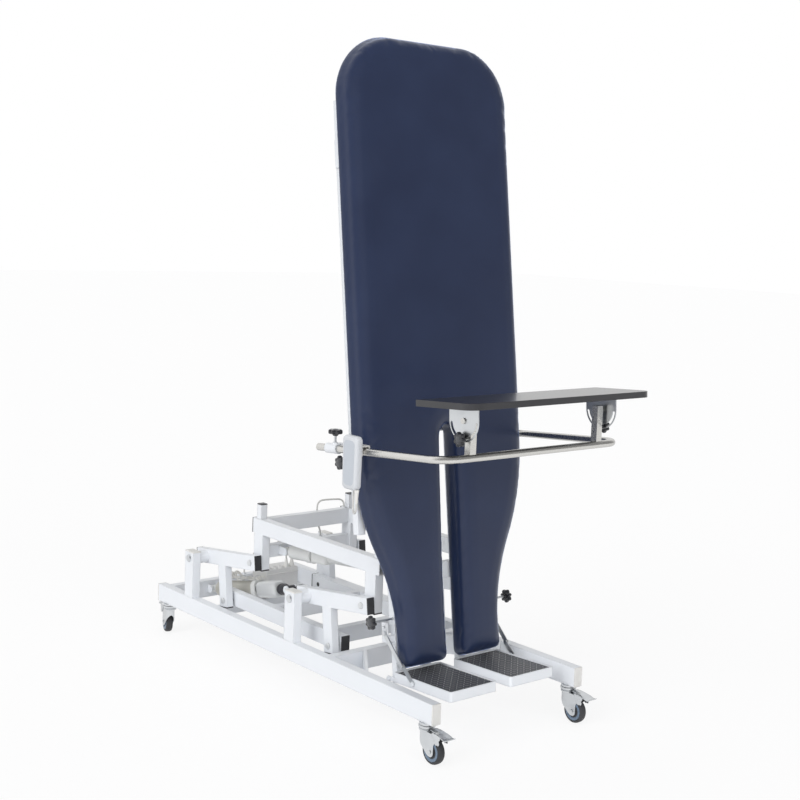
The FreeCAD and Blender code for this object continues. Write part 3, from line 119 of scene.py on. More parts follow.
def difference(tree, first, second, clamp=False):
    """The first value less the second."""
    return math_node(tree, "SUBTRACT", first, second, clamp=clamp)


def product(tree, first, second, clamp=False):
    """The product of two values."""
    return math_node(tree, "MULTIPLY", first, second, clamp=clamp)


def object_place(tree):
    """Where a point lies in its own object."""
    return new_node(tree, "ShaderNodeTexCoord").outputs["Object"]


def axes_of(tree, vector):
    """The three parts of a vector, by the names X, Y and Z."""
    return feed(tree, new_node(tree, "ShaderNodeSeparateXYZ"), Vector=vector).outputs


def noise(tree, place, scale, detail=2.0, roughness=0.5):
    """A noise texture's value, on a place given by a node's output; scale is a number or an output."""
    node = new_node(tree, "ShaderNodeTexNoise")
    return feed(tree, node, Vector=place, Scale=scale, Detail=detail, Roughness=roughness).outputs["Fac"]


def spread(tree, value, low, high):
    """Stretches a value that lies near the middle, from low and high, over 0 to 1."""
    node = new_node(tree, "ShaderNodeMapRange")
    return feed(tree, node, Value=value, From_Min=low, From_Max=high).outputs["Result"]


def blend_colours(tree, share, first, second):
    """A colour that goes from the first to the second as the share goes from 0 to 1."""
    node = new_node(tree, "ShaderNodeMix", data_type="RGBA")
    return feed(tree, node, Factor=share, A=first, B=second).outputs["Result"]


def times(tree, colour, level):
    """A colour made darker by a level from 0 to 1."""
    node = new_node(tree, "ShaderNodeVectorMath", operation="SCALE")
    return feed(tree, node, Vector=colour, Scale=level).outputs[0]


def new_group(name, inputs, outputs):
    """An empty node group with number inputs, given with their defaults, and number outputs."""
    group = bpy.data.node_groups.new(name, "ShaderNodeTree")
    for label, default in inputs.items():
        entry = group.interface.new_socket(name=label, in_out="INPUT", socket_type="NodeSocketFloat")
        entry.default_value = default
    for label in outputs:
        group.interface.new_socket(name=label, in_out="OUTPUT", socket_type="NodeSocketFloat")
    return group, group.nodes.new("NodeGroupInput").outputs, group.nodes.new("NodeGroupOutput")


def place_group(tree, group, **values):
    """The outputs of a placed node group with its inputs set."""
    return feed(tree, new_node(tree, "ShaderNodeGroup", node_tree=group), **values).outputs


def make_grain_group():
    """Fine grain: a cellular pebble and a finer noise, as on moulded plastic, paint and vinyl."""
    group, ins, outs = new_group("fine_grain", {"Cells per metre": 900.0, "Pebble share": 0.5},
                                 ("Height", "Tone"))
    place = object_place(group)
    scale = ins["Cells per metre"]
    share = ins["Pebble share"]
    cells = new_node(group, "ShaderNodeTexVoronoi", feature="SMOOTH_F1")
    feed(group, cells, Vector=place, Scale=scale, Smoothness=0.6)
    fine = noise(group, place, product(group, scale, 2.3), detail=3.0)
    pebble = product(group, cells.outputs["Distance"], share)
    fine_share = product(group, fine, difference(group, 1.0, share))
    broad = noise(group, place, 6.0, detail=4.0)
    feed(group, outs, Height=total(group, pebble, fine_share), Tone=spread(group, broad, 0.3, 0.7))
    return group


def make_wear_group():
    """Wear and dust: a mask of rubbed patches and a mask of fine dust that lies on faces that look up."""
    group, ins, outs = new_group("wear_and_dust", {"Patches per metre": 12.0, "Rubbed share": 0.3},
                                 ("Rubbed", "Dust"))
    place = object_place(group)
    patches = noise(group, place, ins["Patches per metre"], detail=8.0, roughness=0.62)
    edge = difference(group, 0.72, product(group, ins["Rubbed share"], 0.3))
    rubbed = product(group, difference(group, patches, edge), 6.0, clamp=True)
    facing = axes_of(group, new_node(group, "ShaderNodeNewGeometry").outputs["Normal"])
    up = math_node(group, "MAXIMUM", facing["Z"], 0.0)
    specks = spread(group, noise(group, place, 90.0, detail=5.0), 0.45, 0.75)
    feed(group, outs, Rubbed=rubbed, Dust=product(group, up, specks))
    return group


def make_brush_group():
    """Brushed metal: noise stretched along one axis, given by how much each axis is squeezed."""
    labels = ("Along X", "Along Y", "Along Z")
    group, ins, outs = new_group("brushed_lines", dict.fromkeys(labels, 1.0), ("Lines",))
    squeeze = new_node(group, "ShaderNodeCombineXYZ")
    for entry, label in zip(squeeze.inputs, labels):
        set_input(group, entry, ins[label])
    stretched = new_node(group, "ShaderNodeVectorMath", operation="MULTIPLY")
    set_input(group, stretched.inputs[0], object_place(group))
    set_input(group, stretched.inputs[1], squeeze.outputs[0])
    lines = noise(group, stretched.outputs[0], 400.0, detail=4.0)
    feed(group, outs, Lines=spread(group, lines, 0.3, 0.7))
    return group


grain_group = make_grain_group()
wear_group = make_wear_group()
brush_group = make_brush_group()


def new_material(name):
    """A material with its node tree and its shader."""
    material = bpy.data.materials.new(name)
    material.use_nodes = True
    tree = material.node_tree
    return material, tree, tree.nodes["Principled BSDF"]


def add_relief(tree, shader, height, depth, edge=0.0):
    """A relief of a depth in metres, over sharp edges that look rounded to a radius in metres."""
    bump = feed(tree, new_node(tree, "ShaderNodeBump"), Strength=1.0, Distance=depth, Height=height)
    if edge:
        rounded = feed(tree, new_node(tree, "ShaderNodeBevel", samples=4), Radius=edge)
        feed(tree, bump, Normal=rounded.outputs["Normal"])
    feed(tree, shader, Normal=bump.outputs["Normal"])


def finish(name, colour, darker, roughness, metallic=0.0, cells=900.0, pebble=0.4, relief=0.02,
           rubbed=0.2, coat=0.0, brushed=None, edge=0.0, roughness_spread=0.06, rim=0.0):
    """A material: two close tones, a grain in the relief and patches of wear in the roughness.

    The tone goes towards the darker colour by half of the broad tone and a quarter of the dust.
    relief is the depth of the grain in millimetres, and edge the radius in millimetres to which
    sharp edges look rounded. rim is painted shade: how much darker the colour gets as a face turns
    away from the eye, in place of a metal's dimmer reflections towards its edges.
    """
    material, tree, shader = new_material(name)
    grain = place_group(tree, grain_group, Cells_per_metre=cells, Pebble_share=pebble)
    wear = place_group(tree, wear_group, Rubbed_share=rubbed)
    tone = total(tree, product(tree, grain["Tone"], 0.5), product(tree, wear["Dust"], 0.25), clamp=True)
    tones = blend_colours(tree, tone, colour, darker)
    # Painted shade: the colour darkens by rim as a face turns away from the eye.
    if rim:
        facing = feed(tree, new_node(tree, "ShaderNodeLayerWeight"), Blend=0.35).outputs["Facing"]
        tones = times(tree, tones, difference(tree, 1.0, product(tree, facing, rim)))
    rough = total(tree, roughness, product(tree, wear["Rubbed"], roughness_spread))
    if brushed:
        along_x, along_y, along_z = brushed
        lines = place_group(tree, brush_group, Along_X=along_x, Along_Y=along_y, Along_Z=along_z)
        rough = total(tree, rough, product(tree, lines["Lines"], 0.12))
    feed(tree, shader, Base_Color=tones, Roughness=rough, Metallic=metallic, Coat_Weight=coat,
         Coat_Roughness=0.1)
    add_relief(tree, shader, grain["Height"], relief / 1000, edge / 1000)
    return material


white_paint = finish("white_powder_coat", (0.80, 0.825, 0.86), (0.76, 0.785, 0.825), 0.38, cells=1400.0,
                     relief=0.03, coat=0.12, edge=4.0)
# zinc_plate and stainless carry a rim: their colour is painted darker towards their edges, a painted shade
# in place of reflections.
zinc_plate = finish("zinc_plated_steel", (0.80, 0.82, 0.84), (0.62, 0.645, 0.67), 0.33, metallic=1.0,
                    cells=1200.0, relief=0.01, rubbed=0.5, edge=0.8, roughness_spread=0.2, rim=0.35)
stainless = finish("satin_stainless", (0.84, 0.83, 0.80), (0.72, 0.71, 0.68), 0.22, metallic=1.0,
                   relief=0.005, brushed=(0.06, 1.0, 1.0), rim=0.55)
black_plastic = finish("black_moulding", (0.022, 0.022, 0.025), (0.045, 0.045, 0.05), 0.42, cells=1600.0,
                       relief=0.03, edge=1.0)
glossy_black = finish("glossy_black_moulding", (0.012, 0.013, 0.018), (0.03, 0.03, 0.036), 0.2, cells=1800.0,
                      relief=0.01, coat=0.4, edge=0.8)
light_plastic = finish("light_grey_moulding", (0.79, 0.785, 0.765), (0.66, 0.65, 0.62), 0.45, cells=1500.0,
                       relief=0.03, edge=1.0)
motor_paint = finish("warm_grey_cast_case", (0.50, 0.49, 0.44), (0.42, 0.41, 0.37), 0.4, cells=900.0,
                     relief=0.05, edge=1.2)
pale_case = finish("pale_grey_case", (0.74, 0.75, 0.74), (0.66, 0.67, 0.66), 0.4, cells=1300.0, relief=0.03,
                   edge=1.0)
gearbox_silver = finish("silver_gearbox_case", (0.68, 0.695, 0.70), (0.60, 0.615, 0.62), 0.32, metallic=0.3,
                        cells=1100.0, relief=0.03, coat=0.2, edge=1.0)
box_plastic = finish("control_box_moulding", (0.78, 0.78, 0.775), (0.70, 0.70, 0.695), 0.45, cells=1500.0,
                     relief=0.03, edge=1.0)
wire_sheath = finish("white_wire_sheath", (0.82, 0.81, 0.77), (0.70, 0.69, 0.65), 0.45, relief=0.01)
knob_hub = finish("glossy_knob_hub", (0.035, 0.038, 0.045), (0.06, 0.063, 0.07), 0.12, cells=1800.0,
                  relief=0.004, coat=0.6)
dark_steel = finish("dark_steel", (0.10, 0.10, 0.11), (0.05, 0.05, 0.055), 0.3, metallic=0.9, relief=0.01)
lead_sheath = finish("grey_lead_sheath", (0.66, 0.66, 0.64), (0.56, 0.56, 0.54), 0.5, cells=2500.0,
                     relief=0.01)
rubber = finish("tyre_rubber", (0.028, 0.030, 0.034), (0.06, 0.06, 0.065), 0.6, cells=2200.0, relief=0.04)
hub_plastic = finish("blue_grey_hub", (0.15, 0.205, 0.28), (0.12, 0.17, 0.24), 0.38, cells=1500.0,
                     relief=0.02, edge=0.8)
handset_shell = finish("pale_handset_shell", (0.64, 0.66, 0.69), (0.58, 0.60, 0.63), 0.36, cells=1800.0,
                       relief=0.015)
keypad_film = finish("blue_grey_keypad_film", (0.52, 0.555, 0.605), (0.485, 0.52, 0.57), 0.3, cells=2600.0,
                     relief=0.008, coat=0.2)
laminate = finish("black_laminate", (0.028, 0.028, 0.032), (0.045, 0.045, 0.05), 0.29, cells=2400.0,
                  relief=0.03, coat=0.2, edge=1.5)
plywood = finish("plywood_board", (0.30, 0.20, 0.11), (0.20, 0.13, 0.07), 0.6, cells=500.0, relief=0.1,
                 brushed=(1.0, 0.05, 0.05))


def make_vinyl():
    """Navy vinyl: a pebbled grain, broad patches of wear, a faint broad tone and a soft sheen."""
    material, tree, shader = new_material("navy_vinyl")
    grain = place_group(tree, grain_group, Cells_per_metre=700.0, Pebble_share=0.75)
    wear = place_group(tree, wear_group, Patches_per_metre=5.0, Rubbed_share=0.6)
    colour = blend_colours(tree, grain["Tone"], (0.0135, 0.023, 0.062), (0.0175, 0.029, 0.074))
    rough = total(tree, 0.33, product(tree, wear["Rubbed"], 0.08))
    feed(tree, shader, Base_Color=colour, Roughness=rough, Sheen_Weight=1.0, Sheen_Roughness=0.24,
         Sheen_Tint=(0.42, 0.56, 1.0))
    add_relief(tree, shader, grain["Height"], 0.00006)
    return material


mat_square = 0.0135
mat_bar_thinness = 5.2
mat_bar_shortness = 1.5
mat_bar_steepness = 2.5


def make_tread_plate():
    """The foot mat's pattern: short raised bars, laid across each other square by square.

    In each square a bar is the inside of an ellipse along one diagonal, and the next square's bar
    lies along the other.
    """
    material, tree, shader = new_material("checker_mat")
    parts = axes_of(tree, object_place(tree))
    scaled = [product(tree, parts[axis], 1 / mat_square) for axis in ("X", "Y")]
    local = [difference(tree, math_node(tree, "FRACT", value), 0.5) for value in scaled]
    cells = [math_node(tree, "FLOOR", value) for value in scaled]
    parity = math_node(tree, "ABSOLUTE", math_node(tree, "PINGPONG", total(tree, *cells), 1.0))
    across = total(tree, *local)
    along = difference(tree, *local)
    bars = []
    for wide, long in ((across, along), (along, across)):
        thin = product(tree, math_node(tree, "ABSOLUTE", wide), mat_bar_thinness)
        reach = product(tree, math_node(tree, "ABSOLUTE", long), mat_bar_shortness)
        far = total(tree, product(tree, thin, thin), product(tree, reach, reach))
        bars.append(difference(tree, 1.0, far, clamp=True))
    first = product(tree, bars[0], parity)
    second = product(tree, bars[1], difference(tree, 1.0, parity))
    height = product(tree, total(tree, first, second), mat_bar_steepness, clamp=True)
    # The raised bars are painted much lighter than the mat between them: a painted highlight where their
    # tops catch the light.
    colour = blend_colours(tree, height, (0.050, 0.053, 0.062), (0.36, 0.365, 0.38))
    feed(tree, shader, Base_Color=colour, Roughness=difference(tree, 0.62, product(tree, height, 0.40)))
    add_relief(tree, shader, height, 0.0009)
    return material


vinyl = make_vinyl()
tread = make_tread_plate()


# Surfaces worked out as whole arrays


def grid_faces(rows, columns):
    """Quads between the points of a grid that is stored row by row, each row closed to a ring."""
    row = np.arange(rows - 1)[:, None]
    column = np.arange(columns)[None, :]
    after = (column + 1) % columns
    corners = [row * columns + column, row * columns + after,
               (row + 1) * columns + after, (row + 1) * columns + column]
    return np.stack(np.broadcast_arrays(*corners), axis=-1).reshape(-1, 4)


def piece(name, points, steps, material, body, slot, smooth_angle=40.0):
    """A closed skin through rings of points, steps in each, with a lid at both ends, riding on a body."""
    rows = len(points) // steps
    lids = [range(steps - 1, -1, -1), range((rows - 1) * steps, rows * steps)]
    mesh = bpy.data.meshes.new(name)
    mesh.from_pydata(points.tolist(), [], [tuple(face) for face in grid_faces(rows, steps).tolist() + lids])
    mesh.validate()
    item = bpy.data.objects.new(name, mesh)
    bpy.context.scene.collection.objects.link(item)
    mesh.materials.append(material)
    smooth_by_angle(item, smooth_angle, weld=False)
    outwards(mesh)
    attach(item, body)
    return item


def outwards(mesh):
    """Turns the faces of a closed mesh outwards."""
    form = bmesh.new()
    form.from_mesh(mesh)
    bmesh.ops.recalc_face_normals(form, faces=form.faces)
    form.to_mesh(mesh)
    form.free()


def replace_node(node, items):
    """Hides a CAD piece, for scene pieces that stand in its place."""
    for item in items:
        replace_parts(item, node)


def smooth_by_angle(item, angle, weld=True):
    """Shades a mesh smooth, but for the edges that turn by more than the angle."""
    mesh = item.data
    mesh.polygons.foreach_set("use_smooth", np.ones(len(mesh.polygons), bool))
    if weld:
        joined = item.modifiers.new("weld", "WELD")
        joined.merge_threshold = 0.00001
    split = item.modifiers.new("sharp_edges", "EDGE_SPLIT")
    split.split_angle = math.radians(angle)


def axis_frame(way):
    """Two directions square to a direction and to each other."""
    way = np.asarray(way, float)
    way = way / np.linalg.norm(way)
    other = np.array([0.0, 0.0, 1.0]) if abs(way[2]) < 0.9 else np.array([0.0, 1.0, 0.0])
    side = np.cross(other, way)
    side = side / np.linalg.norm(side)
    return way, side, np.cross(way, side)


def lathe(name, start, way, profile, material, body, slot, steps, wave=None, smooth_angle=40.0,
          place=None):
    """A profile of distance along and radius, turned about an axis, with a flat lid at each end.

    wave scales each angle's radius, and place moves the points.
    """
    way, side, other = axis_frame(way)
    angle = np.linspace(0, 2 * np.pi, steps, endpoint=False)
    scale = np.ones_like(angle) if wave is None else wave(angle)
    profile = np.asarray(profile, float)
    along = profile[:, 0][:, None, None] * way
    spoke = np.cos(angle)[:, None] * side + np.sin(angle)[:, None] * other
    out = profile[:, 1][:, None, None] * (scale[:, None] * spoke)[None]
    points = (np.asarray(start, float) + along + out).reshape(-1, 3)
    if place is not None:
        points = place(points)
    return piece(name, points, steps, material, body, slot, smooth_angle)


def rounded_profile(low, high, radius, corner, steps=4):
    """A cylinder's profile whose two rims are rounded: each rim is a quarter circle."""
    turn = np.linspace(0, np.pi / 2, steps + 1)
    from_end = corner * (1 - np.sin(turn))
    inset = radius - corner * (1 - np.cos(turn))
    first = np.column_stack([low + from_end, inset])[::-1]
    return np.concatenate([first, np.column_stack([high - from_end, inset])])


# Finishes of the CAD pieces

bolt_heads_from = 0.2335


def with_bolt_heads(material, beyond):
    """Makes a black material light and shiny where it lies further than beyond from the middle plane."""
    tree = material.node_tree
    shader = tree.nodes["Principled BSDF"]
    sideways = math_node(tree, "ABSOLUTE", axes_of(tree, object_place(tree))["X"])
    outside = math_node(tree, "GREATER_THAN", sideways, beyond)
    black = shader.inputs["Base Color"].links[0].from_socket
    feed(tree, shader, Base_Color=blend_colours(tree, outside, black, (0.70, 0.715, 0.73)),
         Metallic=product(tree, outside, 0.55))
    return material


caps_and_bolts = with_bolt_heads(
    finish("black_caps_and_light_bolts", (0.022, 0.022, 0.025), (0.045, 0.045, 0.05), 0.40, cells=1600.0,
           relief=0.03, edge=1.0), bolt_heads_from)
cad_finishes = (
    (white_paint, ("base_rails", "base_posts", "base_cross_members", "crank_rear", "crank_front",
                   "link_bars", "link_cross_tubes", "upper_side_frames", "upper_cross_tubes",
                   "table_guide_tubes", "table_cross_tubes", "accessory_tubes", "footrest_slide_left",
                   "footrest_slide_right", "footplate_left", "footplate_right", "tray_clamps")),
    (zinc_plate, ("base_hardware", "tilt_pins", "stay_left", "stay_right", "tray_brackets")),
    (glossy_black, ("footrest_knobs", "clamp_side_knobs", "tray_knobs", "clamp_top_knob_left",
                    "clamp_top_knob_right")),
    (caps_and_bolts, ("crank_rear_fittings", "crank_front_fittings")),
    (black_plastic, ("link_caps", "upper_caps")),
    (light_plastic, ("base_caps",)),
    (dark_steel, ("lift_rod", "tilt_rod")),
    (tread, ("foot_mat_left", "foot_mat_right")),
    (box_plastic, ("control_box",)),
    (motor_paint, ("lift_motor",)),
    (pale_case, ("tilt_motor",)),
    (plywood, ("backing_board",)),
    (stainless, ("tray_rail",)),
    (laminate, ("tray_board",)),
    (handset_shell, ("handset",)),
    (vinyl, ("cushion",)),
)
finish_by_name = {name: material for material, names in cad_finishes for name in names}


def finish_of(name):
    """The finish of a CAD piece."""
    if name.startswith("castor_wheel"):
        return rubber
    if name.startswith("castor"):
        return zinc_plate
    if "lead" in name:
        return lead_sheath
    return finish_by_name[name]


def finish_cad_nodes():
    """Gives every CAD piece its finish and smooth curved faces."""
    for name, item in cad.items():
        item.data.materials.clear()
        item.data.materials.append(finish_of(name))
        smooth_by_angle(item, 35.0)


# Leads: name, body, length and the same points as those of the solid

lead_width = 0.006
lead_table = (
    ("handset_lead", "tray_rail", 0.2200, (
        (-0.3875, 0.2580, 0.6980), (-0.3875, 0.2580, 0.6860), (-0.3850, 0.2640, 0.6720),
        (-0.3780, 0.2790, 0.6640), (-0.3690, 0.2950, 0.6700), (-0.3630, 0.3040, 0.6920),
        (-0.3595, 0.3085, 0.7220), (-0.3570, 0.3110, 0.7540), (-0.3540, 0.3160, 0.7800),
        (-0.3508, 0.3235, 0.7970), (-0.3500, 0.3260, 0.8100), (-0.3500, 0.3260, 0.8217),
    )),
    ("box_lead_left", "base", 0.3628, (
        (0.0515, 1.2126, 0.2771), (0.0515, 1.2126, 0.2910), (0.0510, 1.2180, 0.3070),
        (0.0500, 1.2310, 0.3240), (0.0480, 1.2500, 0.3380), (0.0460, 1.2760, 0.3450),
        (0.0430, 1.3040, 0.3420), (0.0410, 1.3320, 0.3280), (0.0390, 1.3600, 0.3040),
        (0.0370, 1.3860, 0.2750), (0.0360, 1.4120, 0.2460), (0.0360, 1.4360, 0.2200),
        (0.0360, 1.4530, 0.2000), (0.0360, 1.4590, 0.1870), (0.0360, 1.4590, 0.1760),
    )),
    ("box_lead_right", "base", 0.3682, (
        (0.0755, 1.2126, 0.2771), (0.0755, 1.2126, 0.2920), (0.0770, 1.2180, 0.3170),
        (0.0820, 1.2350, 0.3380), (0.0900, 1.2630, 0.3470), (0.0970, 1.2970, 0.3390),
        (0.1010, 1.3320, 0.3160), (0.1030, 1.3660, 0.2840), (0.1040, 1.3980, 0.2500),
        (0.1040, 1.4280, 0.2220), (0.1040, 1.4520, 0.2060), (0.1040, 1.4590, 0.1920),
        (0.1040, 1.4590, 0.1760),
    )),
    ("frame_lead", "upper_frame", 0.2345, (
        (0.0640, 1.0290, 0.4010), (0.0640, 1.0290, 0.4090), (0.0637, 1.0340, 0.4210),
        (0.0630, 1.0420, 0.4330), (0.0620, 1.0480, 0.4460), (0.0610, 1.0500, 0.4630),
        (0.0610, 1.0500, 0.4990), (0.0640, 1.0493, 0.5100), (0.0720, 1.0473, 0.5180),
        (0.0830, 1.0446, 0.5210), (0.1380, 1.0306, 0.5210), (0.1490, 1.0278, 0.5180),
        (0.1570, 1.0258, 0.5100), (0.1600, 1.0250, 0.4990), (0.1600, 1.0250, 0.4920),
    )),
)


def make_lead(name, body, length, route):
    """A lead as a smooth spline whose control points are the route."""
    data = bpy.data.curves.new(name + "_sheath", "CURVE")
    data.dimensions = "3D"
    data.bevel_depth = lead_width / 2
    data.bevel_resolution = 4
    data.resolution_u = 8
    data.use_fill_caps = True
    line = data.splines.new("NURBS")
    line.points.add(len(route) - 1)
    for point, place in zip(line.points, route):
        point.co = (*place, 1)
    line.order_u = 3
    line.use_endpoint_u = True
    data.materials.append(lead_sheath)
    item = bpy.data.objects.new(name + "_sheath", data)
    bpy.context.scene.collection.objects.link(item)
    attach(item, body)
    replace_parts(item, name)
    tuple(route[0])


def make_leads():
    """All four leads."""
    for row in lead_table:
        make_lead(*row)


# Places on the table top

table_lean = math.radians(7.5)
face_y = 0.2261
face_z = 0.2016


def depth_in_table(points):
    """How far points lie behind the front face of the pad."""
    return ((points[:, 1] - face_y) * math.cos(table_lean)
            - (points[:, 2] - face_z) * math.sin(table_lean))


def height_on_table(points):
    """How far points lie up the pad from its lower end."""
    return (points[:, 1] - face_y) * math.sin(table_lean) + (points[:, 2] - face_z) * math.cos(table_lean)


# General forms


def bevelled(item, width):
    """Rounds the sharp edges of a mesh, before its faces are parted for shading."""
    rounding = item.modifiers.new("rounded_edges", "BEVEL")
    rounding.width = width
    rounding.segments = 2
    rounding.limit_method = "ANGLE"
    rounding.angle_limit = math.radians(35)
    item.modifiers.move(len(item.modifiers) - 1, 0)
    return item


def slab(name, outline, low, high, place, material, body, slot, edge):
    """A flat plate: an outline in a plane, with a thickness from low to high and rounded edges.

    place turns an array of outline points and one distance into points in space.
    """
    outline = np.asarray(outline, float)
    points = np.concatenate([place(outline, low), place(outline, high)])
    return bevelled(piece(name, points, len(outline), material, body, slot), edge)


def box(name, low, high, material, body, slot, edge=0.001, place=None):
    """A block between two corners, with rounded edges; place moves its points."""
    corners = [(low[0], low[1]), (high[0], low[1]), (high[0], high[1]), (low[0], high[1])]

    def upright(outline, height):
        points = np.column_stack([outline, np.full(len(outline), height)])
        return points if place is None else place(points)

    return slab(name, corners, low[2], high[2], upright, material, body, slot, edge)


def arc(centre, radius, start, end, steps=10):
    """Points on an arc in a plane; angles are in degrees."""
    angle = np.radians(np.linspace(start, end, steps + 1))
    return np.column_stack([centre[0] + radius * np.cos(angle), centre[1] + radius * np.sin(angle)])


def rounded_rectangle(half_width, half_height, corner, steps=6):
    """The outline of a rectangle with rounded corners, about its middle."""
    inner_x = half_width - corner
    inner_y = half_height - corner
    corners = ((inner_x, inner_y, 0), (-inner_x, inner_y, 90),
               (-inner_x, -inner_y, 180), (inner_x, -inner_y, 270))
    return np.concatenate([arc((x, y), corner, turn, turn + 90, steps) for x, y, turn in corners])


def smooth_line(points, per_run=8):
    """A Catmull-Rom line through points, as an array."""
    points = np.asarray(points, float)
    ends = np.vstack([2 * points[0] - points[1], points, 2 * points[-1] - points[-2]])
    share = np.linspace(0, 1, per_run, endpoint=False)[:, None]
    runs = []
    for a, b, c, d in zip(ends, ends[1:], ends[2:], ends[3:]):
        runs.append(0.5 * (2 * b + (c - a) * share + (2 * a - 5 * b + 4 * c - d) * share ** 2
                           + (3 * b - a - 3 * c + d) * share ** 3))
    return np.vstack(runs + [points[-1:]])


def tube(name, points, radius, material, body, slot, steps):
    """A round wire along a smooth line through points."""
    line = smooth_line(points)
    ways = np.gradient(line, axis=0)
    ways /= np.linalg.norm(ways, axis=1)[:, None]
    side = axis_frame(ways[0])[1]
    angle = np.linspace(0, 2 * np.pi, steps, endpoint=False)
    rings = []
    for place, way in zip(line, ways):
        side = side - way * side.dot(way)
        side /= np.linalg.norm(side)
        other = np.cross(way, side)
        rings.append(place + radius * (np.cos(angle)[:, None] * side + np.sin(angle)[:, None] * other))
    return piece(name, np.concatenate(rings), steps, material, body, slot)


def stacked(name, outlines, material, body, slot, smooth_angle=40.0):
    """A closed skin through outlines that have equally many points, each an array of points in space."""
    return piece(name, np.concatenate(outlines), len(outlines[0]), material, body, slot, smooth_angle)


# The pad

pad_voxel = 0.007
pad_shrink = 0.0035
pad_swell_limit = 0.0075
pad_frames = 16
pad_held_from = 0.036
pad_held_to = 0.047
pad_flare = 0.018
pad_crown = 0.009
pad_crown_full_at = 0.75
pad_crown_at_legs = 0.25
pad_closing_limit = 0.25
pad_half_wide = 0.325
pad_gap_closing = 0.005
pad_gap_half = 0.020
pad_gap_reach = 0.060


def plain_copy(item, name, voxel):
    """A new mesh from a CAD piece: its points joined and the whole remeshed to even quads."""
    copy = bpy.data.objects.new(name, item.data.copy())
    bpy.context.scene.collection.objects.link(copy)
    joined = copy.modifiers.new("weld", "WELD")
    joined.merge_threshold = 0.00001
    even = copy.modifiers.new("even_quads", "REMESH")
    even.mode = "VOXEL"
    even.voxel_size = voxel
    graph = bpy.context.evaluated_depsgraph_get()
    mesh = bpy.data.meshes.new_from_object(copy.evaluated_get(graph))
    copy.modifiers.clear()
    copy.data = mesh
    return copy


def vectors_of(entries, attribute):
    """One vector attribute of a mesh's entries, as an array."""
    values = np.empty(len(entries) * 3)
    entries.foreach_get(attribute, values)
    return values.reshape(-1, 3)


def points_of(mesh):
    """A mesh's points as an array."""
    return vectors_of(mesh.vertices, "co")


def set_points(mesh, points):
    """Moves a mesh's points to those of an array."""
    mesh.vertices.foreach_set("co", points.astype(float).ravel())
    mesh.update()


def swell(pad):
    """Blows the cover up as cloth for a few frames and returns its points."""
    cloth = pad.modifiers.new("cloth", "CLOTH")
    settings = cloth.settings
    settings.quality = 4
    settings.use_pressure = True
    settings.uniform_pressure_force = 4.0
    settings.tension_stiffness = 12.0
    settings.compression_stiffness = 12.0
    settings.bending_stiffness = 0.4
    settings.effector_weights.gravity = 0.0
    cloth.collision_settings.use_collision = False
    cloth.point_cache.frame_start = 1
    cloth.point_cache.frame_end = pad_frames
    for number in range(1, pad_frames + 1):
        bpy.context.scene.frame_set(number)
    graph = bpy.context.evaluated_depsgraph_get()
    swollen = pad.evaluated_get(graph).to_mesh()
    points = points_of(swollen)
    pad.evaluated_get(graph).to_mesh_clear()
    pad.modifiers.clear()
    bpy.context.scene.frame_set(1)
    return points


def shaped(points):
    """The pad's own form: flared sides, a crowned front and a narrower gap between the legs.

    The crown is a parabola over the width, fading towards the back and towards the legs. The gap's
    narrowing fades to nothing over a hand's width on each side. The sides flare evenly towards the
    back.
    """
    points = points.copy()
    depth = depth_in_table(points)
    wide = np.abs(points[:, 0])
    front = np.clip(1 - depth / pad_held_to, 0, 1)
    upper = np.clip(height_on_table(points) / pad_crown_full_at, pad_crown_at_legs, 1)
    rise = pad_crown * np.clip(1 - (wide / pad_half_wide) ** 2, 0, 1) * np.sqrt(front) * upper
    points[:, 1] -= rise * math.cos(table_lean)
    points[:, 2] += rise * math.sin(table_lean)
    closing = pad_gap_closing * np.clip(1 - (wide - pad_gap_half) / pad_gap_reach, 0, 1)
    closing = np.minimum(closing, pad_closing_limit * wide)
    points[:, 0] *= 1 + pad_flare * np.clip(depth / pad_held_to, 0, 1)
    points[:, 0] -= np.sign(points[:, 0]) * closing
    return points


def make_pad():
    """The pad's cover: a slightly smaller copy of the cushion, swollen as cloth up to a limit.

    The share of movement that is kept falls from all to none towards the back, where the cover is
    drawn tight over the board.
    """
    pad = plain_copy(cad["cushion"], "pad_cover", pad_voxel)
    pad.data.materials.clear()
    start = points_of(pad.data)
    free = np.clip((pad_held_to - depth_in_table(start)) / (pad_held_to - pad_held_from), 0, 1)[:, None]
    start = start - vectors_of(pad.data.vertex_normals, "vector") * pad_shrink * free
    set_points(pad.data, start)
    move = swell(pad) - start
    length = np.linalg.norm(move, axis=1)[:, None] + 1e-9
    limit = pad_swell_limit * np.tanh(length / pad_swell_limit)
    start = start + move / length * limit * free
    set_points(pad.data, start)
    set_points(pad.data, shaped(points_of(pad.data)))
    pad.data.materials.append(vinyl)
    smooth_by_angle(pad, 75.0, weld=False)
    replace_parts(pad, "cushion")
    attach(pad, "table")


# Castors: in a castor's own frame the king pin is upright at the origin and the wheel trails towards -Y

castor_spots = {
    "foot_left": (-0.285, 0.035, 0.0),
    "foot_right": (0.285, 0.035, 0.0),
    "head_left": (-0.285, 1.445, 162.0),
    "head_right": (0.285, 1.445, 160.0),
}
axle_y = -0.032
axle_z = 0.0375


def castor_turn(spot):
    """A function that takes points from a castor's own frame to its place."""
    x, y, heading = spot
    cosine = math.cos(math.radians(heading))
    sine = math.sin(math.radians(heading))

    def place(points):
        points = np.asarray(points, float)
        return np.column_stack([x + points[:, 0] * cosine - points[:, 1] * sine,
                                y + points[:, 0] * sine + points[:, 1] * cosine, points[:, 2]])

    return place


def castor_ring(name, start, way, profile, place, body, steps, material=zinc_plate, slot="zinc"):
    """A turned part of a castor, given in the castor's own frame."""
    return lathe(name, start, way, profile, material, body, slot, steps, smooth_angle=32.0, place=place)


def both_ways(half):
    """A profile made of one half, from its outer end to its middle, and the same mirrored."""
    half = np.asarray(half, float)
    back = half[::-1] * (-1, 1)
    return np.concatenate([half, back])


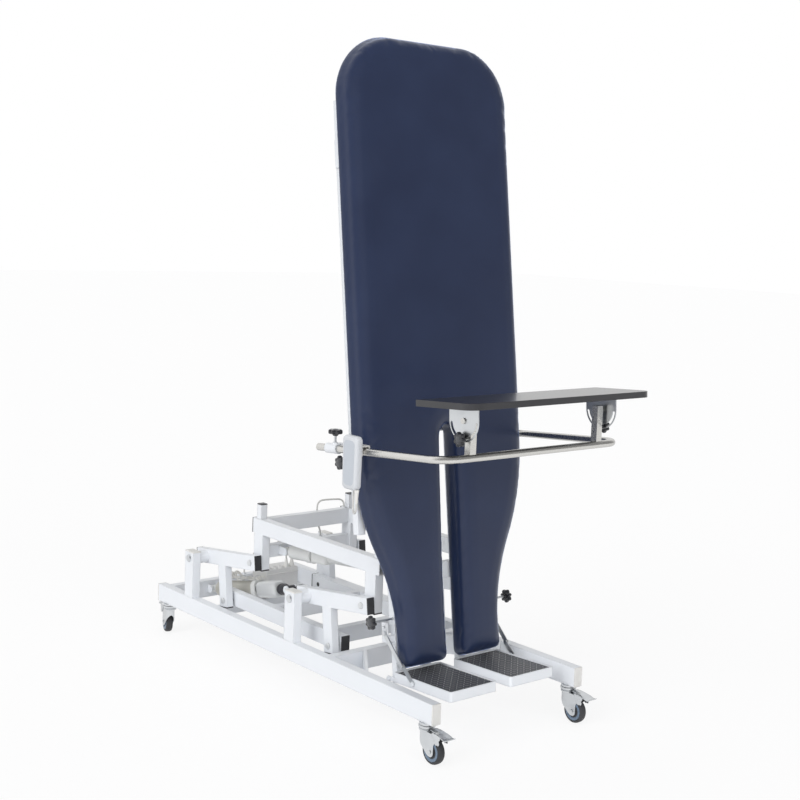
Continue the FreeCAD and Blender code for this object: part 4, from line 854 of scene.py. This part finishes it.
tyre_half = ((-0.0105, 0.0290), (-0.0116, 0.0298), (-0.0119, 0.0310), (-0.0118, 0.0325), (-0.0108, 0.0346),
             (-0.0085, 0.0364), (-0.0050, 0.0373), (-0.0010, 0.0375))
hub_half = ((-0.0126, 0.0004), (-0.0126, 0.0072), (-0.0102, 0.0084), (-0.0090, 0.0120), (-0.0090, 0.0165),
            (-0.0100, 0.0176), (-0.0100, 0.0196), (-0.0112, 0.0206), (-0.0122, 0.0216), (-0.0125, 0.0236),
            (-0.0125, 0.0272), (-0.0118, 0.0288), (-0.0060, 0.0293))
fork_inner = 0.0131
fork_outer = 0.0156
fork_nose_y = 0.0040
fork_nose_deep = 0.0170
fork_top = 0.0905
fork_foot = ((0.0210, 0.0715), (0.0190, 0.0665), (0.0150, 0.0605), (0.0100, 0.0535), (0.0040, 0.0468),
             (-0.0050, 0.0390), (-0.0130, 0.0322), (-0.0200, 0.0268), (-0.0260, 0.0242), (-0.0320, 0.0233),
             (-0.0370, 0.0241), (-0.0410, 0.0264), (-0.0440, 0.0300), (-0.0455, 0.0345), (-0.0458, 0.0590),
             (-0.0490, 0.0645), (-0.0545, 0.0680), (-0.0595, 0.0720), (-0.0612, 0.0790))
fork_crest = ((0.0210, 0.0905), (-0.0470, 0.0905), (-0.0530, 0.0898), (-0.0585, 0.0872), (-0.0612, 0.0820))
race_profile = ((0.0890, 0.0150), (0.0892, 0.0214), (0.0905, 0.0226), (0.0935, 0.0228), (0.0948, 0.0212),
                (0.0956, 0.0200), (0.0966, 0.0200), (0.0974, 0.0212), (0.0984, 0.0238), (0.1010, 0.0244),
                (0.1045, 0.0240), (0.1052, 0.0226))
pedal_line = ((-0.0262, 0.0972), (-0.0400, 0.0972), (-0.0580, 0.0957), (-0.0680, 0.0938), (-0.0760, 0.0905),
              (-0.0860, 0.0870), (-0.0935, 0.0858), (-0.0975, 0.0868), (-0.1000, 0.0892))
pedal_halves = (0.0118, 0.0140, 0.0142, 0.0146, 0.0182, 0.0188, 0.0190, 0.0190, 0.0186)
pedal_lug = ((-0.0400, 0.0960), (-0.0400, 0.0850), (-0.0460, 0.0735), (-0.0540, 0.0668), (-0.0595, 0.0640),
             (-0.0640, 0.0672), (-0.0665, 0.0648), (-0.0700, 0.0672), (-0.0715, 0.0735), (-0.0690, 0.0790),
             (-0.0735, 0.0830), (-0.0740, 0.0915), (-0.0680, 0.0945))
pedal_thick = 0.0022
crown_dome = ((0.0884, 0.0130), (0.0884, 0.0150), (fork_top, 0.0156), (0.0912, 0.0140))
bolt_half = ((-0.0185, 0.0004), (-0.0185, 0.0040), (-0.0178, 0.0052), (-0.0158, 0.0054), (-0.0157, 0.0040))
pin_half = ((-0.0178, 0.0004), (-0.0178, 0.0034), (-0.0157, 0.0038), (-0.0156, 0.0026))
barrel_half = ((-0.0120, 0.0004), (-0.0120, 0.0044), (-0.0114, 0.0049))
king_pin = (0, 0, 0)
across = (1, 0, 0)
upright = (0, 0, 1)


def make_castor(name, spot):
    """One castor: its wheel with a ringed hub, its pressed fork with the race on top, and its pedal."""
    place = castor_turn(spot)
    axle = (0, axle_y, axle_z)
    wheel = "castor_wheel_" + name
    replace_node(wheel, [
        castor_ring("tyre_" + name, axle, across, both_ways(tyre_half), place, wheel, 72, rubber, "tyre"),
        castor_ring("hub_" + name, axle, across, both_ways(hub_half), place, wheel, 56, hub_plastic, "tyre"),
    ])
    fork = "castor_fork_" + name
    replace_node(fork, [
        make_fork_sheet(name, place, fork),
        box("fork_crown_" + name, (-0.0140, -0.0480, 0.0884), (0.0140, 0.0060, fork_top), zinc_plate, fork,
            "zinc", 0.0006, place),
        castor_ring("fork_crown_dome_" + name, king_pin, upright, crown_dome, place, fork, 40),
        castor_ring("fork_race_" + name, king_pin, upright, race_profile, place, fork, 40),
        castor_ring("axle_bolt_" + name, axle, across, both_ways(bolt_half), place, fork, 24),
        castor_ring("pedal_pin_" + name, (0, -0.0520, 0.0790), across, both_ways(pin_half), place, fork, 20),
    ])
    make_pedal(name, place)


def make_fork_sheet(name, place, body):
    """The fork: one sheet bent round in plan, two flat cheeks and a half-oval nose between them.

    At each place along the sheet it reaches from its foot, given over y, up to its crest.
    """
    cheek = np.array([row[0] for row in fork_foot if row[0] < fork_nose_y])
    turn = np.linspace(0, np.pi, 19)
    y = np.concatenate([cheek[::-1], fork_nose_y + fork_nose_deep * np.sin(turn), cheek])
    outer = np.concatenate([np.full(len(cheek), fork_outer), fork_outer * np.cos(turn),
                            np.full(len(cheek), -fork_outer)])
    thick = fork_outer - fork_inner
    inner = outer * (1 - thick / fork_outer)
    inner_y = np.where(y > fork_nose_y, fork_nose_y + (y - fork_nose_y) * (1 - thick / fork_nose_deep), y)
    foot_y, foot_z = np.array(fork_foot)[::-1].T
    crest_y, crest_z = np.array(fork_crest)[::-1].T
    low = np.interp(y, foot_y, foot_z)
    high = np.interp(y, crest_y, crest_z)
    corners = ((outer, y, low), (outer, y, high), (inner, inner_y, high), (inner, inner_y, low))
    rings = np.stack([np.column_stack(corner) for corner in corners], axis=1)
    return piece("fork_sheet_" + name, place(rings.reshape(-1, 3)), 4, zinc_plate, body, "zinc", 32.0)


def make_pedal(name, place):
    """The brake pedal: a pressed strip that bends down and ends in a wider, upturned tread."""
    sections = []
    for (y, z), half in zip(pedal_line, pedal_halves):
        top = z + pedal_thick
        sections.append(place([(-half, y, z), (half, y, z), (half, y, top), (-half, y, top)]))
    body = "castor_pedal_" + name
    blade = stacked("pedal_blade_" + name, sections, zinc_plate, body, "zinc", 25.0)
    items = [bevelled(blade, 0.0005)]

    def lug_place(points, x):
        return place(np.column_stack([np.full(len(points), x), points]))

    for label, low, high in (("left", -0.0176, -0.0160), ("right", 0.0160, 0.0176)):
        items.append(slab("pedal_lug_%s_%s" % (name, label), pedal_lug, low, high, lug_place, zinc_plate,
                          body, "zinc", 0.0005))
    items.append(castor_ring("pedal_barrel_" + name, (0, -0.0450, 0.0925), across, both_ways(barrel_half),
                             place, body, 24))
    replace_node(body, items)


def make_castors():
    """All four castors."""
    for name, spot in castor_spots.items():
        make_castor(name, spot)


# Star knobs

knob_profile = ((-0.0070, 0.0090), (-0.0069, 0.0172), (-0.0058, 0.0202), (-0.0030, 0.0213), (0.0015, 0.0214),
                (0.0048, 0.0206), (0.0064, 0.0186), (0.0070, 0.0150), (0.0067, 0.0105))
hub_profile = ((0.0040, 0.0120), (0.0064, 0.0108), (0.0078, 0.0090), (0.0086, 0.0060), (0.0089, 0.0004))
neck_profile = ((-0.0120, 0.0050), (-0.0119, 0.0078), (-0.0060, 0.0092), (-0.0050, 0.0092))


def star_wave(lobes, depth):
    """Lobes round a knob: a cosine whose hollows are sharper than its crests."""
    def wave(angle):
        return 1 - depth * (0.5 - 0.5 * np.cos(lobes * angle)) ** 1.4

    return wave


def make_knob(name, centre, way, stem, node):
    """A moulded star knob with seven lobes, a shiny domed hub, a neck and a zinc stem."""
    parts = (
        ("grip", knob_profile, glossy_black, 112, star_wave(7, 0.24), 50.0),
        ("hub", hub_profile, knob_hub, 40, None, 40.0),
        ("neck", neck_profile, glossy_black, 40, None, 40.0),
        ("stem", ((-stem, 0.0038), (-0.0118, 0.0038)), zinc_plate, 24, None, 40.0),
    )
    for label, profile, material, steps, wave, smooth_angle in parts:
        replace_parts(lathe("%s_%s" % (name, label), centre, way, profile, material, node, "knob", steps,
                          wave, smooth_angle), node)


side_knobs = (
    ("footrest_knob", (0.275, 0.312, 0.322), 0.084),
    ("clamp_side_knob", (0.350, 0.388, 0.792), 0.045),
    ("tray_knob", (0.286, -0.051, 0.919), 0.031),
)


def make_knobs():
    """The three knobs that look outwards and the one that looks up, on each side."""
    for side, label in ((-1, "left"), (1, "right")):
        for name, (x, y, z), stem in side_knobs:
            make_knob("%s_%s" % (name, label), (side * x, y, z), (side, 0, 0), stem, name + "s")
        top = "clamp_top_knob_" + label
        make_knob(top, (side * 0.350, 0.415, 0.880), upright, 0.034, top)


# Handset

handset_middle = (0.284, 0.8125)


shell_steps = ((0.0, 0.0065), (0.0012, 0.0032), (0.0035, 0.0012), (0.0075, 0.0), (0.0170, 0.0),
               (0.0215, 0.0014), (0.0240, 0.0040), (0.0250, 0.0080))
relief_profile = ((0.0, 0.0036), (0.004, 0.0042), (0.030, 0.0060), (0.040, 0.0075))
hook_blocks = (
    ("hook_bridge", (-0.376, 0.269, 0.8560), (-0.3355, 0.299, 0.8590)),
    ("hook_lip", (-0.3385, 0.269, 0.8330), (-0.3355, 0.299, 0.8585)),
    ("hook_spine", (-0.376, 0.269, 0.8300), (-0.3615, 0.299, 0.8585)),
)


def make_handset():
    """The handset: a moulded shell with well rounded edges, a film keypad let in, and a hook on the rail."""
    look = ("handset", "handset_shell")
    shell = [handset_outline(-0.3993 + depth, inset, 0.033, 0.0775) for depth, inset in shell_steps]
    film = [handset_outline(x, 0.0, 0.0235, 0.0640) for x in (-0.3999, -0.3985)]
    items = [
        stacked("handset_case", shell, handset_shell, *look, 50.0),
        stacked("handset_keypad", film, keypad_film, *look),
        lathe("handset_relief", (-0.3875, 0.258, 0.698), upright, relief_profile, light_plastic, *look, 28),
    ]
    items += [box(name, low, high, light_plastic, *look) for name, low, high in hook_blocks]
    replace_node("handset", items)


def handset_outline(x, inset, half_wide, half_high):
    """A ring of the handset at one place on X: a rounded rectangle that is a little narrower at its foot."""
    ring = rounded_rectangle(half_wide - inset, half_high - inset, 0.0145 - min(inset, 0.008), 8)
    ring[:, 0] *= 1.0 + 0.05 * ring[:, 1] / half_high
    return np.column_stack([np.full(len(ring), x), ring + handset_middle])


# Control box

box_ledge_top = 0.2507
box_socket_y = 1.2126
box_free_sockets_x = (-0.0205, 0.0035, 0.0275)
box_used_sockets_x = (0.0515, 0.0755)


box_collar = ((0.0, 0.0098), (0.0052, 0.0086), (0.0060, 0.0076), (0.0058, 0.0062), (0.0012, 0.0060))
box_hole = ((0.0008, 0.0061), (0.0020, 0.0061))
box_boot = ((0.0, 0.0105), (0.0020, 0.0108), (0.0045, 0.0096), (0.0120, 0.0074), (0.0220, 0.0052),
            (0.0300, 0.0040))


def make_box_details():
    """On the control box: a lip under the ledge, a collar round each free socket and a boot on each lead."""
    look = ("base", "grey_plastic")
    box("box_ledge_lip", (-0.0380, 1.1935, 0.2325), (0.0930, 1.2000, 0.2365), box_plastic, *look)

    def on_ledge(name, number, x, profile, material, steps):
        start = (x, box_socket_y, box_ledge_top - 0.0004)
        lathe("%s_%d" % (name, number), start, upright, profile, material, *look, steps)

    for number, x in enumerate(box_free_sockets_x):
        on_ledge("box_socket", number, x, box_collar, box_plastic, 32)
        on_ledge("box_socket_hole", number, x, box_hole, black_plastic, 24)
    for number, x in enumerate(box_used_sockets_x):
        on_ledge("box_boot", number, x, box_boot, light_plastic, 32)


# Lift motor

lift_rear = np.array([-0.110, 1.430, 0.144])
lift_front = np.array([-0.110, 0.955, 0.250])
wire_radius = 0.0025
tie_radius = 0.0012


case_end = ((0.040, 0.012), (0.043, 0.019), (0.050, 0.021))
neck = ((0.300, 0.0240), (0.330, 0.0240))
mouth = ((0.4280, 0.0180), (0.4350, 0.0182), (0.4360, 0.0195), (0.4420, 0.0195), (0.4430, 0.0178),
         (0.4480, 0.0178), (0.4490, 0.0190), (0.4550, 0.0190), (0.4565, 0.0172), (0.4640, 0.0165),
         (0.4640, 0.0105))
eye_half = ((-0.0140, 0.0064), (-0.0140, 0.0130), (-0.0130, 0.0140))
ring_plate = ((0.2880, 0.0290, 0.0290, 0.018), (0.2895, 0.0318, 0.0318, 0.020),
              (0.3060, 0.0318, 0.0318, 0.020), (0.3080, 0.0290, 0.0290, 0.018))
gearbox = ((0.3120, 0.0200, 0.0200, 0.012), (0.3140, 0.0240, 0.0240, 0.013),
           (0.3190, 0.0268, 0.0268, 0.014), (0.3280, 0.0278, 0.0278, 0.015),
           (0.4100, 0.0278, 0.0278, 0.015), (0.4220, 0.0268, 0.0268, 0.014),
           (0.4290, 0.0238, 0.0238, 0.013), (0.4310, 0.0190, 0.0190, 0.012))
rear_fork = ((0.0040, 0.0080, 0.0095, 0.002), (0.0300, 0.0080, 0.0095, 0.002))


def make_lift_motor():
    """The lift actuator: a round case, a pale ring plate, a rounded gearbox and a dark ringed mouth.

    Its round parts are profiles along its axis. The others are skins through rounded rectangles,
    each given by its place along the axis, half its width, half its height and its corners' radius.
    """
    way, side, up = axis_frame(lift_front - lift_rear)
    if up[2] < 0:
        side, up = -side, -up
    look = ("lift_motor", "grey_plastic")

    def ring(along, half_side, half_up, corner):
        flat = rounded_rectangle(half_side, half_up, corner)
        return lift_rear + way * along + flat[:, :1] * side + flat[:, 1:] * up

    def turned(name, axis, profile, material, steps):
        return lathe(name, lift_rear, axis, profile, material, *look, steps)

    def skin(name, rings, material, smooth_angle):
        return stacked(name, [ring(*row) for row in rings], material, *look, smooth_angle)

    items = [
        turned("motor_case", way, rounded_profile(0.049, 0.290, 0.0285, 0.006), motor_paint, 64),
        turned("motor_case_end", way, case_end, motor_paint, 40),
        skin("motor_ring_plate", ring_plate, pale_case, 30.0),
        turned("motor_neck", way, neck, dark_steel, 40),
        skin("motor_gearbox", gearbox, gearbox_silver, 50.0),
        turned("motor_mouth", way, mouth, dark_steel, 48),
        turned("motor_eye", across, both_ways(eye_half), gearbox_silver, 40),
        skin("motor_fork", rear_fork, gearbox_silver, 40.0),
    ]
    replace_node("lift_motor", items + motor_wires(way, side, up))


def motor_wires(way, side, up):
    """The motor's wires: five wavy wires along the top of its case, three ties and two coils."""
    wires = []

    def wire(name, number, places, radius, material, steps):
        wires.append(tube("%s_%d" % (name, number), places, radius, material, "lift_motor", "lead", steps))

    for number in range(5):
        shift = (number - 2) * 0.0056
        lift = 0.0325 + 0.0026 * (number % 2)
        places = []
        for share in np.linspace(0, 1, 16):
            along = 0.110 + 0.205 * share
            sway = 0.0065 * math.sin(3.1 * math.pi * share + 1.3 * number)
            rise = 0.0085 * math.sin(2.6 * math.pi * share + 0.9 * number) ** 2
            rise += 0.0180 * math.exp(-((share - 0.16) / 0.14) ** 2)
            height = lift + rise * (0.5 + 0.14 * number)
            places.append(lift_rear + way * along + side * (shift + sway) + up * height)
        wire("motor_wire", number, places, wire_radius, wire_sheath, 8)
    turn = np.linspace(0, 2 * np.pi, 13)[:, None]
    for number, along in enumerate((0.200, 0.245, 0.295)):
        middle = lift_rear + way * along + up * 0.0385
        loop = middle + 0.0135 * np.cos(turn) * side + 0.0075 * np.sin(turn) * up
        wire("motor_tie", number, loop, tie_radius, gearbox_silver, 6)
    for number, lean in enumerate((-0.35, 0.25)):
        middle = lift_rear + way * 0.143 + up * 0.0490 + side * (0.004 - 0.010 * number)
        long_way = 0.0165 * np.cos(turn) * (way + lean * side)
        loop = middle + long_way + 0.0105 * np.sin(turn) * (up - lean * side)
        wire("motor_coil", number, loop, wire_radius, wire_sheath, 8)
    return wires


# Floor and light


floor_half_wide = 30.0
floor_glow_share = 0.80


def make_stage():
    """One wide flat sheet as the floor, which glows white to the camera and to reflections."""
    material, tree, shader = new_material("studio_paper")
    feed(tree, shader, Base_Color=(0.86, 0.86, 0.87), Roughness=0.8)
    path = new_node(tree, "ShaderNodeLightPath").outputs
    seen = math_node(tree, "MAXIMUM", path["Is Camera Ray"], path["Is Glossy Ray"])
    glow = feed(tree, new_node(tree, "ShaderNodeEmission"), Color=(1, 1, 1), Strength=1.05)
    mixed = new_node(tree, "ShaderNodeMixShader")
    shares = (product(tree, seen, floor_glow_share), shader.outputs[0], glow.outputs[0])
    for entry, value in zip(mixed.inputs, shares):
        set_input(tree, entry, value)
    feed(tree, tree.nodes["Material Output"], Surface=mixed.outputs[0])
    far = floor_half_wide
    mesh = bpy.data.meshes.new("studio_floor")
    mesh.from_pydata([(-far, -far, 0), (far, -far, 0), (far, far, 0), (-far, far, 0)], [], [(0, 1, 2, 3)])
    floor = bpy.data.objects.new("studio_floor", mesh)
    mesh.materials.append(material)
    bpy.context.scene.collection.objects.link(floor)


def sun(name, toward, strength, softness):
    """A lamp so far away that it lights everything alike, and isn't mirrored; toward points to the lamp."""
    data = bpy.data.lights.new(name, "SUN")
    data.energy = strength
    data.angle = math.radians(softness)
    item = bpy.data.objects.new(name, data)
    item.rotation_euler = Vector(toward).to_track_quat("Z", "Y").to_euler()
    item.visible_glossy = False
    bpy.context.scene.collection.objects.link(item)


world_level = 0.45
camera_sees_more = 0.55


def make_world():
    """Plain light from all round; mirrored rays see a white backdrop behind and a dim room in front."""
    world = bpy.data.worlds.new("studio")
    bpy.context.scene.world = world
    world.use_nodes = True
    tree = world.node_tree
    path = new_node(tree, "ShaderNodeLightPath").outputs
    parts = axes_of(tree, new_node(tree, "ShaderNodeTexCoord").outputs["Generated"])
    behind = feed(tree, new_node(tree, "ShaderNodeMapRange"), Value=parts["Y"], From_Min=-0.25,
                  From_Max=0.35, To_Min=-0.15, To_Max=0.60)
    mirrored = product(tree, path["Is Glossy Ray"], behind.outputs["Result"])
    seen = product(tree, path["Is Camera Ray"], camera_sees_more)
    level = total(tree, total(tree, seen, mirrored), world_level)
    feed(tree, tree.nodes["Background"], Color=(1, 1, 1), Strength=level)


def make_lights():
    """A key light from the left and a broader light on the pad's front."""
    sun("key_light", (-0.86, -0.10, 0.50), 1.44, 40)
    sun("front_light", (-0.30, -0.90, 0.30), 1.45, 60)


make_camera()
finish_cad_nodes()
make_pad()
make_leads()
make_castors()
make_knobs()
make_handset()
make_box_details()
make_lift_motor()
make_stage()
make_world()
make_lights()

bpy.context.scene.view_settings.view_transform = "Standard"
